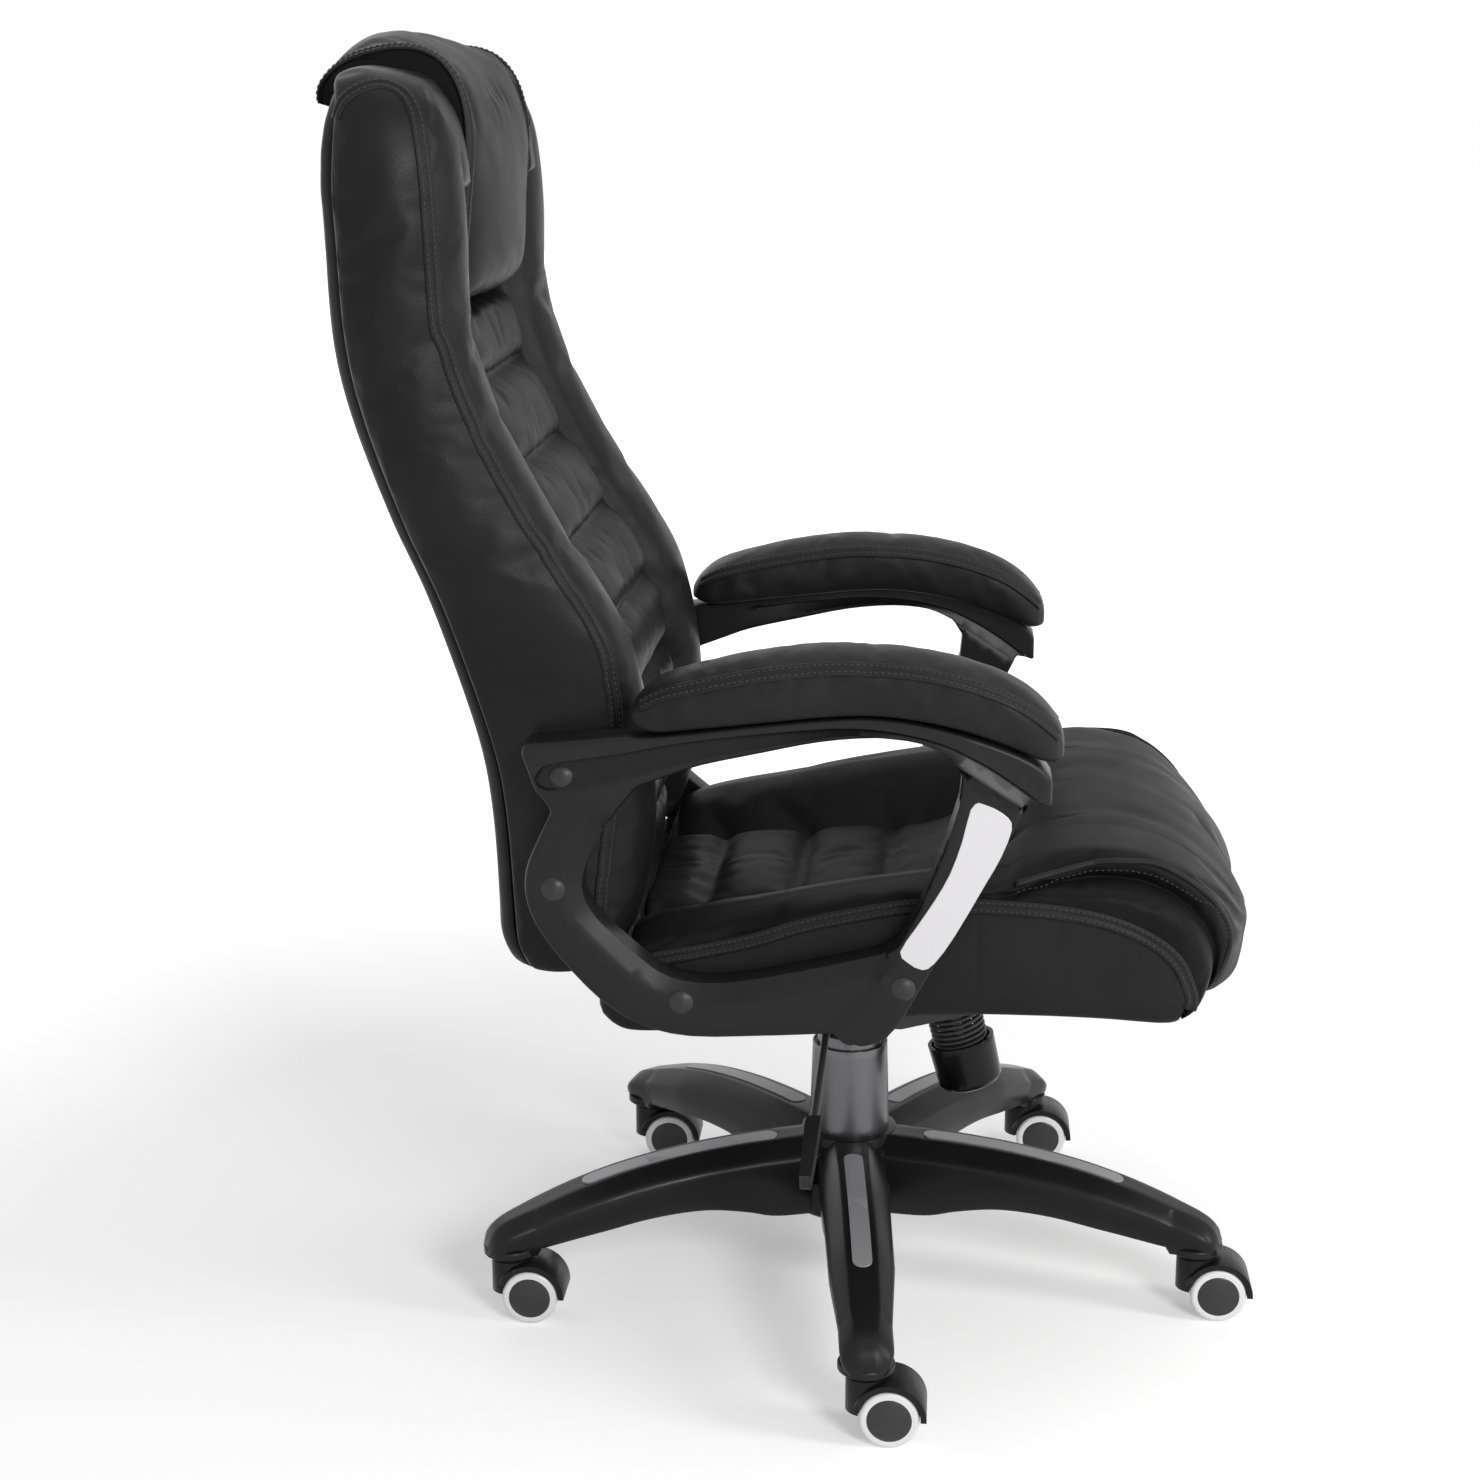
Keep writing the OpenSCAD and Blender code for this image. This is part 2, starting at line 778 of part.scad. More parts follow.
function coil_point(a) = [wound_r * cos(a), wound_r * sin(a), wound_from + wound_rise * a / 360];
function coil_way(a) = unit([-sin(a), cos(a), wound_rise / (2 * PI * wound_r)]);
function tube_ring(p, way, out) = [
    for (i = [0 : 5])
        p + wire_d / 2 * (cos(60 * i) * out + sin(60 * i) * cross(way, out))
];
coil_end = 360 * spring_curls;
coil_middle = [for (s = [0 : curl_steps * spring_curls]) 360 * s / curl_steps];
coil_points = [for (a = coil_middle) coil_point(a)];
coil_gap = min([
    for (i = [0 : 4 : len(coil_points) - 1])
        for (j = [i + 5 : len(coil_points) - 1])
            norm(coil_points[j] - coil_points[i]) - wire_d
]);
echo(spring_least_gap = coil_gap);
coil_rings = concat(
    [tube_ring([wound_r, 0, spring_foot], [0, 0, 1], [1, 0, 0])],
    [tube_ring(coil_point(0), unit([0, 1, 1]), [1, 0, 0])],
    [for (s = [1 : len(coil_middle) - 2]) tube_ring(coil_points[s], coil_way(coil_middle[s]),
        [cos(coil_middle[s]), sin(coil_middle[s]), 0])],
    [tube_ring(coil_point(coil_end), unit(coil_way(coil_end) + [0, 0, 1]), [cos(coil_end), sin(coil_end), 0])],
    [tube_ring([wound_r * cos(coil_end), wound_r * sin(coil_end), spring_end], [0, 0, 1],
        [cos(coil_end), sin(coil_end), 0])]
);

module tension_spring() {
    color(dark_steel)
        on_bolt_axis()
            skin(coil_rings);
}

module tension_bolt() {
    color(steel)
        on_bolt_axis() {
            translate([0, 0, -36])
                cylinder(d = tension_bolt_d, h = yoke_w + 2 + 37);
            translate([0, 0, yoke_w + 2])
                cylinder(d = 2 * tension_bolt_d - 2, h = 6, $fn = 6);
        }
}

module spring_washer() {
    color(steel)
        on_bolt_axis()
            ring(knob_d - 2 * cup_wall - 1, tension_bolt_d + 2 * fit, knob_floor + 0.15, knob_floor + washer_t);
}

module tension_knob() {
    color(black_plastic)
        on_bolt_axis()
            difference() {
                union() {
                    translate([0, 0, -knob_l + 6])
                        cylinder(d1 = knob_d - 3, d2 = knob_d, h = knob_l - 6);
                    translate([0, 0, -knob_l + 2])
                        cylinder(d1 = knob_d - 9, d2 = knob_d - 3, h = 4.01);
                    translate([0, 0, -knob_l])
                        cylinder(d1 = knob_d - 17, d2 = knob_d - 9, h = 2.01);
                }
                translate([0, 0, knob_floor])
                    cylinder(d = knob_d - 2 * cup_wall, h = cup_depth + 1);
                translate([0, 0, -knob_l + 2.5])
                    cylinder(d = tension_bolt_d + 2 * fit, h = knob_l);
            }
}

// Seat plate, board and fasteners
plate_top = board_z - board_t - 1;
plate_bottom = plate_top - steel_t;
plate_rear = -95;
plate_front = 115;
plate_half = 100;
bolt_x = [-75, 95];
bolt_y = 85;
seat_bolt_d = 8;
nut_d = 11;
nut_head_d = 20;
nut_head_t = 1.6;
board_half = seat_w / 2 - skirt_t;

module seat_bolt_places() {
    for (x = bolt_x)
        for (y = [-bolt_y, bolt_y])
            translate([x, y, 0])
                children();
}

module seat_plate() {
    ear = [
        [tilt_x - 26, plate_bottom + 1], [tilt_x + 26, plate_bottom + 1], [tilt_x + 12, tilt_z - 4],
        [tilt_x + 6, tilt_z - 11], [tilt_x - 6, tilt_z - 11], [tilt_x - 12, tilt_z - 4]
    ];
    yoke_x = rim_x - yoke_w * sin(bolt_lean);
    yoke_z = rim_z + yoke_w * cos(bolt_lean);
    cheek = [
        [yoke_x - 19, plate_bottom + 1], [yoke_x + 23, plate_bottom + 1],
        [yoke_x + 19, yoke_z + 19 * tan(bolt_lean) - 1], [yoke_x - 19, yoke_z - 19 * tan(bolt_lean) - 1]
    ];
    color(dark_steel)
        difference() {
            union() {
                translate([plate_rear, -plate_half, plate_bottom])
                    cube([plate_front - plate_rear, 2 * plate_half, steel_t]);
                for (y = [-ear_out, ear_out - ear_t]) upright(ear, y, y + ear_t);
                for (y = [-20, 17]) upright(cheek, y, y + 3);
                on_bolt_axis()
                    translate([-18, -20, yoke_w - 2])
                        cube([36, 40, 4]);
            }
            across(tilt_x, tilt_z, tilt_axle_d / 2 + fit, -ear_out - 1, ear_out + 1);
            on_bolt_axis()
                translate([0, 0, yoke_w - 9])
                    cylinder(d = tension_bolt_d + 2 * fit, h = 14);
            seat_bolt_places()
                translate([0, 0, plate_bottom - 1])
                    cylinder(d = seat_bolt_d + 1, h = steel_t + 2);
        }
}

module seat_bolts() {
    color(steel)
        seat_bolt_places() {
            translate([0, 0, plate_bottom - 5])
                cylinder(d = 14, h = 5, $fn = 6);
            translate([0, 0, plate_bottom - 1])
                cylinder(d = seat_bolt_d, h = board_z - 1 - plate_bottom);
        }
}

module seat_tee_nuts() {
    color(steel)
        seat_bolt_places() {
            ring(nut_d, seat_bolt_d + 2 * fit, board_z - 9, board_z + 0.5);
            ring(nut_head_d, seat_bolt_d + 2 * fit, board_z, board_z + nut_head_t);
        }
}

// Arm bolts hold each arm to the seat board's rails and to the back board's rails
seat_arm_bolts = [[-128, board_z + 6 + 6], [53, board_z + 30]];
back_arm_bolts = [[-224, board_z + 199], [-232, board_z + 106]];
arm_bolt_at = concat(seat_arm_bolts, back_arm_bolts);
seat_rail_rear = -board_rear + 2;
seat_rail_front = 112;

module seat_rail(gap) {
    upright([
        [seat_rail_rear - gap, board_z - 1], [seat_rail_front + gap, board_z - 1],
        [seat_rail_front + gap, board_z + rail_h + gap], [-60, board_z + rail_h + gap],
        [seat_rail_rear - gap, board_z + rail_h - rail_drop + gap]
    ], -rail_t / 2 - gap, rail_t / 2 + gap);
}

module seat_board() {
    r = 30;
    color(plywood)
        difference() {
            union() {
                translate([-board_rear, 0, board_z - board_t])
                    linear_extrude(board_t)
                        polygon(concat(
                            [[0, -board_half]],
                            arc([board_rear + board_front - 2 * r, -board_half + 2 * r], 2 * r, -90, 0, 6),
                            arc([board_rear + board_front - 2 * r, board_half - 2 * r], 2 * r, 0, 90, 6),
                            [[0, board_half]]
                        ));
                for (side = [-1, 1])
                    translate([0, side * (board_half - rail_t / 2), 0])
                        seat_rail(0);
            }
            seat_bolt_places()
                translate([0, 0, board_z - board_t - 1])
                    cylinder(d = nut_d + 2 * fit, h = board_t + 2);
            for (q = seat_arm_bolts) across(q[0], q[1], arm_bolt_d / 2 + fit, -seat_w, seat_w);
        }
}

module seat_dust_cover() {
    color(leather)
        difference() {
            translate([-board_rear + 3, -board_half + 3, plate_top])
                cube([board_rear + board_front - 40, 2 * board_half - 6, board_z - board_t - plate_top]);
            seat_bolt_places()
                translate([0, 0, plate_top - 1])
                    cylinder(d = seat_bolt_d + 1, h = 4);
        }
}

// Seat cushions: each station is a ring across the seat
half_seat = seat_w / 2;
laid_z = board_z - 349;
skirt_line = raise([
    [-206, 341], [-192, 327], [-166, 319], [-60, 327], [67, 339], [132, 342], [214, 340], [279, 338], [300, 341]
], laid_z);
side_seam = raise([
    [-206, 366], [-157, 384], [-116, 393], [-74, 403], [-33, 417], [8, 427], [49, 435], [90, 438], [122, 438],
    [160, 436], [200, 431], [227, 424], [249, 415], [268, 401], [280, 386], [287, 368], [290, 352]
], laid_z);
pillow_seam = raise([
    [-206, 374], [-157, 392], [-116, 401.5], [-74, 411], [-33, 423], [8, 431], [49, 439], [90, 445], [130, 453],
    [170, 462], [212, 468], [240, 466], [266, 458], [290, 445], [310, 428], [326, 410], [340, 395], [350, 384]
], laid_z);
crest_line = raise([
    [-206, 385], [-167, 402], [-116, 413], [-74, 421], [-33, 429], [8, 437], [49, 445], [90, 452], [130, 461],
    [172, 471], [212, 475], [250, 470], [280, 458], [302, 443], [320, 425], [334, 407], [344, 394], [350, 387]
], laid_z);
panel_line = raise([
    [-206, 370], [-182, 374], [-132, 379], [-55, 385], [22, 391], [70, 396], [105, 412], [132, 438], [150, 458]
], laid_z);
panel_foam = 14;
nose_line = raise([[290, 343], [302, 344], [314, 346], [325, 351], [335, 359], [343, 368], [350, 378]], laid_z);
plan_half = [
    [-206, half_seat - 8], [-190, half_seat - 1], [-120, half_seat], [240, half_seat], [262, half_seat - 1.5],
    [280, half_seat - 5], [296, half_seat - 12], [310, half_seat - 22], [322, half_seat - 36],
    [332, half_seat - 54], [340, half_seat - 78], [346, half_seat - 110], [350, half_seat - 150]
];
function floor_at(x) = min(lookup(x, side_seam), lookup(x, panel_line) - panel_foam);
nose_x = 351;
panel_half = seat_panel_w / 2;
seat_bolster_w = 52;
first_seam = -125;
last_seam = first_seam + 3 * seat_pitch;
seat_seams = [for (i = [0 : 3]) first_seam + i * seat_pitch];

function seat_dip(x) = seat_seam * max([for (s = seat_seams) bell(x - s, 9)]) * (x < last_seam + 30 ? 1 : 0);

function base_ring(x) =
    let (w = lookup(x, plan_half), b = lookup(x, skirt_line), s = lookup(x, side_seam), h = s - b)
    let (half = [
        [w - 5, b], [w - 0.6, b + 0.25 * h], [w - 0.6, b + 0.6 * h], [w - 2.5, b + 0.85 * h], [w - 6, s - seam_gap],
        [w - seat_bolster_w, s - seam_gap], [panel_half + 20, floor_at(x) - seam_gap]
    ])
    concat([for (q = half) [x, -q[0], q[1]]], [for (q = flip(half)) [x, q[0], q[1]]]);

base_front = 290;
seam_gap = 0.4;
// Both seat cushions take these stations, so that the faces at their seam run alongside
seat_stations = concat(
    [-206, -196, -180, -155],
    [for (s = seat_seams) each [s - 9, s, s + 9, s + seat_pitch / 2]],
    [last_seam + seat_pitch / 2 + 25, 190, 207, 226, 246, 260, 271, 280, 286, base_front]
);

module arm_bolt_holes(places) {
    for (q = places) across(q[0], q[1], arm_bolt_d / 2 + 1, -seat_w, seat_w, $fn = 12);
}

module seat_base_cushion() {
    gap = slip;
    color(leather)
        difference() {
            skin([for (x = seat_stations) base_ring(x)], true);
            translate([-board_rear - gap, -board_half - gap, 0])
                cube([board_rear + board_front + 2 * gap, 2 * (board_half + gap), board_z + gap]);
            for (side = [-1, 1])
                translate([0, side * (board_half - rail_t / 2), 0])
                    seat_rail(gap);
            seat_bolt_places()
                translate([0, 0, board_z])
                    cylinder(d = nut_head_d + 1, h = nut_head_t + gap, $fn = 12);
            arm_bolt_holes(seat_arm_bolts);
        }
}

function front_ease(x) = x < base_front ? 1 : max(0.2, (nose_x - x) / (nose_x - base_front));

// How far the front pillow stands in from the side
function ledge(x) = 20 * max(0, min(1, (x - 140) / 60));

function top_ring(x) =
    let (w = lookup(x, plan_half), on_base = x < base_front + 1)
    let (b = on_base ? lookup(min(x, base_front), side_seam) + seam_gap : lookup(x, nose_line))
    let (under = on_base ? floor_at(min(x, base_front)) + seam_gap : b)
    let (p = max(lookup(x, pillow_seam), b + 4), t = max(lookup(x, crest_line), p + 3))
    let (roll = p - b, front = x > last_seam + 30, e = front_ease(x), h = min(panel_half, w - 75), l = ledge(x))
    let (
        rise = front ? 0 : 1,
        low = front ? t : min(lookup(x, panel_line), t - 2),
        crown = front ? t + 2 * e : low + 9 - seat_dip(x),
        crease = front ? t + e : low
    )
    let (half = [
        [h + 20, under], [w - (on_base ? seat_bolster_w : 54), b], [w - 6, b], [w - 0.6, b + 0.25 * roll],
        [w - 0.2 * l, b + 0.55 * roll], [w - 4 - l, p - 1.5], [w - 4 - l - 2 * rise, p + 1],
        [w - 7 - l, p + 0.4 * (t - p) + 1], [w - 22 - 0.7 * l, p + 0.75 * (t - p)], [w - 55, t],
        [h + (front ? 14 : 42), t - 0.35 * (t - low)], [h + (front ? 4 : 10), low + 0.15 * (t - low)], [h, crease],
        [h - 12, front ? crown - 1 : crown - 3], [h * 0.6, crown - 1], [h * 0.25, crown]
    ])
    concat([for (q = half) [x, -q[0], q[1]]], [for (q = flip(half)) [x, q[0], q[1]]]);

top_stations = concat(seat_stations, [base_front + 0.6, base_front + 1.2, 302, 314, 325, 335, 343, nose_x]);

module seat_top_cushion() {
    rings = [for (x = top_stations) top_ring(x)];
    color(leather)
        skin(rings);
}

// Back: the rear line of its profile, and the lines of its seams and its front
rear_line = raise([
    [-275, 362], [-289, 391], [-292, 423], [-297, 502], [-308, 565], [-344, 673], [-375, 744], [-404, 825],
    [-418, 889], [-423, 972], [-425, 1014], [-422, 1058], [-416, 1092]
], laid_z);
corner_line = raise([
    [-227, 366], [-218, 400], [-205, 430], [-198, 474], [-188, 527], [-182, 578], [-186, 620], [-194, 652],
    [-216, 691], [-240, 728], [-268, 775], [-294, 827], [-313, 880], [-320, 921], [-324, 983], [-330, 1043],
    [-343, 1076], [-366, 1094], [-388, 1100]
], laid_z);
shell_smooth = smooth(rear_line, 3);
function rear_x(z) = lookup(z, swap(shell_smooth));
function corner_x(z) = lookup(z, swap(corner_line));
shell_low = board_z + 31;
shell_high = board_z + 700;
back_w = seat_w - back_narrower;
half_back = back_w / 2;
wide_back = [
    [362, half_back - 8], [380, half_back - 2], [430, half_back], [860, half_back], [960, half_back - 1],
    [1000, half_back - 3], [1050, half_back - 9], [1080, half_back - 19], [1092, half_back - 30],
    [1098, half_back - 48], [1100, half_back - 70]
];
function half_at(z) = lookup(z - laid_z, wide_back);
cover_front = rear_cover_t + slip;
board_front_x = rear_cover_t + 2 * slip + back_board_t;
inner_side = 24;
back_board_half = half_back - inner_side;
back_rail_t = 22;
back_rail_low = board_z + 85;
back_rail_high = board_z + 222;

module shell_band(from_rear, to_rear, z0, z1, half_low, half_high) {
    line = [for (q = shell_smooth) if (q[1] >= z0 && q[1] <= z1) q];
    ends = concat([[rear_x(z0), z0]], line, [[rear_x(z1), z1]]);
    band = concat(shift_x(ends, from_rear), flip(shift_x(ends, to_rear)));
    r = 60;
    front = concat(
        arc([-half_low + 20, z0 + 20], 20, 270, 180, 4),
        arc([-half_high + r, z1 - r], r, 180, 90, 6),
        arc([half_high - r, z1 - r], r, 90, 0, 6),
        arc([half_low - 20, z0 + 20], 20, 0, -90, 4)
    );
    intersection() {
        upright(band, -half_back, half_back);
        rotate([90, 0, 90])
            translate([0, 0, -600])
                linear_extrude(600)
                    polygon(front);
    }
}

cover_low = board_z + 14;
cover_high = board_z + 742;

// The rear cover's own shape, or the space for it with a gap round it
module cover_shape(gap) {
    shell_band(gap > 0 ? -60 : 0, rear_cover_t + gap, cover_low - gap, cover_high + gap, half_back - 14 + gap,
        half_back - 28 + gap);
}

module back_rear_cover() {
    color(leather)
        cover_shape(0);
}

module back_board() {
    color(plywood)
        difference() {
            union() {
                shell_band(cover_front, board_front_x - slip, shell_low, shell_high, back_board_half,
                    back_board_half - 24);
                for (side = [-1, 1])
                    translate([0, side * (back_board_half - back_rail_t / 2), 0])
                        upright([
                            [rear_x(back_rail_low) + cover_front + 7, back_rail_low],
                            [rear_x(back_rail_low) + cover_front + 64, back_rail_low],
                            [rear_x(back_rail_high) + cover_front + 90, back_rail_high],
                            [rear_x(back_rail_high) + cover_front + 7, back_rail_high]
                        ], -back_rail_t / 2, back_rail_t / 2);
            }
            for (q = back_arm_bolts) across(q[0], q[1], arm_bolt_d / 2 + fit, -back_w, back_w);
        }
}

back_first_seam = board_z + 290;
back_seam_count = 4;
back_seams = [for (i = [0 : back_seam_count - 1]) back_first_seam + i * back_pitch];
head_low = board_z + 554;
half_head = head_w / 2;
head_gap = slip;
function back_dip(z) = back_seam * max([for (s = back_seams) bell(z - s, 10)]);
head_seat = 44;

function back_ring(z) =
    let (w = half_at(z), c = corner_x(z), e = rear_x(z) + cover_front)
    let (g = c - e, under_head = z > head_low ? 1 : 0)
    let (
        front = c + 9,
        panel = max(front - 12 - (z < head_low ? back_dip(z) : 0) - under_head * head_seat, e + 10),
        crease = max(front - 20 - under_head * (head_seat - 8), e + 10),
        p = under_head > 0 ? half_head + head_gap + 2 : min(back_panel_w / 2, w - 40)
    )
    let (half = [
        [e, w - 8], [e + 0.18 * g, w - 2], [e + 0.45 * g, w], [e + 0.75 * g, w - 1], [c - 9, w - 4], [c - 3, w - 9],
        [c + 1, w - 18], [front - 2, w - 34], [front, w - 62 > p ? w - 62 : p + 4], [front - 6, p + 2], [crease, p - 2],
        [panel - 2, p - 18], [panel, p * 0.5], [panel + 1, p * 0.15]
    ])
    concat([for (q = half) [q[0], q[1], z]], [for (q = flip(half)) [q[0], -q[1], z]]);

back_stations = concat(
    raise_all([366, 372, 385, 405, 430, 455, 480, 510, 545, 580, 605], laid_z),
    [for (s = back_seams) each [s - 10, s, s + 10, s + back_pitch / 2]],
    [head_low - 1, head_low + 1.5],
    raise_all([918, 950, 990, 1025, 1050, 1068, 1082, 1092, 1098], laid_z)
);
function raise_all(v, dz) = [for (a = v) a + dz];

module back_cushion() {
    gap = slip;
    stations = [
        for (i = [0 : len(back_stations) - 1])
            if (i == 0 || back_stations[i] > back_stations[i - 1] + 1) back_stations[i]
    ];
    color(leather)
        difference() {
            skin([for (z = stations) back_ring(z)]);
            back_board_envelope(gap);
            cover_shape(gap);
            arm_bolt_holes(back_arm_bolts);
        }
}

// The space that the back board and its rails take, with the gap round them
module back_board_envelope(gap) {
    shell_band(-60, board_front_x + 1.5, shell_low - gap, shell_high + gap, back_board_half + gap,
        back_board_half - 24 + gap);
    for (side = [-1, 1])
        translate([0, side * (back_board_half - back_rail_t / 2), 0])
            upright([
                [rear_x(back_rail_low) + cover_front + 2, back_rail_low - gap],
                [rear_x(back_rail_low) + cover_front + 65, back_rail_low - gap],
                [rear_x(back_rail_high) + cover_front + 91, back_rail_high + gap],
                [rear_x(back_rail_high) + cover_front + 2, back_rail_high + gap]
            ], -back_rail_t / 2 - gap, back_rail_t / 2 + gap);
}

// Head cushion: a pad that hangs over the top of the back, front and rear
head_front = raise([
    [-322, 909], [-309, 925], [-303, 945], [-303, 985], [-306, 1030], [-309, 1060], [-315, 1084], [-328, 1104],
    [-350, 1121], [-378, 1130], [-403, 1129], [-424, 1120], [-439, 1105], [-445, 1090], [-441, 1077]
], laid_z);
head_back = raise([
    [-345, 913], [-351, 930], [-353, 950], [-353, 985], [-354, 1030], [-355, 1058], [-358, 1080], [-364, 1094],
    [-374, 1101], [-388, 1103.5], [-406, 1103.5], [-418, 1101], [-426, 1094], [-428, 1086], [-429, 1078]
], laid_z);

function head_ring(y) =
    let (s = abs(y) / half_head, k = s > 0.98 ? 0.3 : 1 - 0.42 * pow(s, 6), tilt = 3 * s * s)
    concat(
        [for (i = [0 : len(head_front) - 1])
            let (f = head_front[i], b = head_back[i], m = b + (f - b) * k)
            [m[0] - tilt, y, m[1] - tilt]],
        [for (i = [len(head_back) - 1 : -1 : 0]) [head_back[i][0], y, head_back[i][1]]]
    );

module headrest() {
    stations = [-1, -0.97, -0.9, -0.78, -0.6, -0.35, 0, 0.35, 0.6, 0.78, 0.9, 0.97, 1];
    color(leather)
        skin([for (s = stations) head_ring(-s * half_head)]);
}

// Arms
arm_in = seat_w / 2 + 1;
arm_out = arm_in + arm_t;
bar_top = raise([
    [-256, 567], [-253, 576], [-236, 578], [-192, 582], [-150, 585], [-110, 590], [-63, 596], [3, 603], [47, 602],
    [94, 593], [134, 580], [158, 568], [168, 556]
], laid_z);
post_front = raise([[168, 534], [151, 537], [140, 514], [121, 472], [98, 434], [74, 391], [51, 348]], laid_z);
post_foot = raise([[39, 334], [23, 328], [6, 329], [-2, 337]], laid_z);
loop_under = raise([
    [-30, 335], [-63, 333], [-121, 331], [-162, 340], [-195, 361], [-227, 395], [-247, 424], [-255, 449],
    [-254, 471], [-246, 492], [-233, 520]
], laid_z);
bar_rear = raise([[-237, 527], [-246, 538]], laid_z);
opening_line = raise([
    [-134, 553], [-111, 561], [-63, 572], [-16, 582], [28, 586], [63, 583], [88, 572]
], laid_z);
post_rear = raise([[97, 558], [95, 535], [84, 497], [65, 446], [48, 414]], laid_z);
loop_top = raise([[34, 404], [-31, 388], [-96, 376], [-137, 380], [-162, 396], [-194, 425], [-207, 445], [-209, 463],
    [-200, 489], [-185, 514], [-163, 542]
], laid_z);
arm_outline = concat(bar_top, post_front, post_foot, smooth(loop_under, 2), bar_rear);
arm_opening = concat(opening_line, post_rear, smooth(loop_top, 2));
post_outline = raise([
    [98, 566], [168, 556], [168, 534], [151, 537], [140, 514], [121, 472], [98, 434], [74, 391], [51, 348],
    [39, 334], [23, 328], [6, 329], [-2, 337], [2, 350], [18, 368], [42, 403], [65, 446], [84, 497], [96, 538]
], laid_z);
inlay_line = smooth(raise([
    [110, 537], [122, 533], [134, 525], [137, 515], [129, 492], [117, 469], [94, 426], [78, 402], [68, 396],
    [56, 402], [50, 411], [62, 431], [77, 455], [89, 478], [98, 505], [104, 531], [110, 537]
], laid_z), 2);
groove_line = raise([
    [-240, 547], [-232, 537], [-215, 534], [-180, 545], [-134, 560], [-134, 568], [-180, 562], [-220, 563], [-235, 560]
], laid_z);
counterbore = 7;

module arm_frame_shape() {
    difference() {
        union() {
            upright(arm_outline, arm_in, arm_out);
            upright(post_outline, arm_out - 1, arm_out + post_extra);
        }
        upright(arm_opening, arm_in - 1, arm_out + 1);
        upright(groove_line, arm_out - 3, arm_out + 1);
        translate([0, arm_out + post_extra - post_inlay_t - fit, 0])
            upright(inlay_pocket, 0, post_inlay_t + 2);
        for (q = arm_bolt_at) {
            across(q[0], q[1], arm_bolt_d / 2 + fit, arm_in - 1, arm_out + 10);
            across(q[0], q[1], bolt_cap_d / 2, face_at(q) - counterbore, arm_out + 10);
        }
    }
}

// The outer face that an arm bolt sits in: the front post stands prouder than the rest
function face_at(q) = q[0] > 0 ? arm_out + post_extra : arm_out - (q[0] < -200 && q[1] > board_z + 150 ? 3 : 0);

inlay_centre = mean(inlay_line);
inlay_pocket = [for (q = inlay_line) q + 0.25 * unit(q - inlay_centre)];

module arm_frame(side) {
    color(black_plastic)
        mirror([0, side < 0 ? 1 : 0, 0])
            arm_frame_shape();
}

module arm_inlays() {
    color(silver)
        for (m = [0, 1])
            mirror([0, m, 0])
                translate([0, arm_out + post_extra - post_inlay_t, 0])
                    upright(inlay_line, 0, post_inlay_t + 0.4);
}

head_h = 4.5;

module arm_bolts() {
    color(steel)
        for (m = [0, 1])
            mirror([0, m, 0])
                for (q = arm_bolt_at) {
                    seat_of = face_at(q) - counterbore;
                    across(q[0], q[1], arm_bolt_d / 2, board_half - rail_t + 2, seat_of + 1);
                    across(q[0], q[1], arm_bolt_d / 2 + 3, seat_of, seat_of + head_h - 1);
                }
}

module arm_bolt_caps() {
    cap_r = bolt_cap_d / 2 - fit;
    rise = 3.5;
    ball = (cap_r * cap_r + rise * rise) / (2 * rise);
    color(black_plastic)
        for (m = [0, 1])
            mirror([0, m, 0])
                for (q = arm_bolt_at)
                    translate([q[0], face_at(q), q[1]])
                        rotate([-90, 0, 0]) {
                            translate([0, 0, -counterbore + head_h])
                                cylinder(r = cap_r, h = counterbore - head_h + 0.01);
                            intersection() {
                                translate([0, 0, rise - ball])
                                    sphere(r = ball, $fn = 64);
                                cylinder(r = cap_r, h = rise + 1);
                            }
                        }
}

pad_top = raise([
    [-169, 604], [-158, 618], [-140, 630], [-110, 639], [-71, 648], [-32, 654], [3, 656], [47, 654], [86, 648],
    [125, 636], [152, 621], [170, 602], [178, 583]
], laid_z);
pad_bottom = raise([
    [-168, 594], [-150, 587.5], [-110, 591.5], [-63, 597], [3, 604], [47, 603], [94, 594.5], [134, 581.5],
    [158, 570.5], [170, 569], [178, 573]
], laid_z);
pad_middle = arm_in + arm_t / 2 - 8;
pad_wide = [[-169, 0.5], [-158, 0.78], [-140, 0.93], [-100, 1], [80, 1], [130, 0.95], [155, 0.82], [170, 0.62], [178, 0.42]];

function pad_ring(x) =
    let (t = lookup(x, pad_top), b = lookup(x, pad_bottom) + 0.4, h = t - b, w = pad_w / 2 * lookup(x, pad_wide))
    let (half = [
        [0.75 * w, b], [0.95 * w, b + 0.16 * h], [w, b + 0.4 * h], [0.97 * w, b + 0.6 * h], [0.86 * w, b + 0.82 * h],
        [0.5 * w, b + 0.96 * h], [0.12 * w, t]
    ])
    concat([for (q = half) [x, pad_middle - q[0], q[1]]], [for (q = flip(half)) [x, pad_middle + q[0], q[1]]]);

module arm_pads() {
    stations = [-169, -164, -156, -140, -110, -71, -32, 10, 47, 86, 120, 145, 160, 170, 176];
    color(leather)
        for (m = [0, 1])
            mirror([0, m, 0])
                skin([for (x = stations) pad_ring(x)]);
}

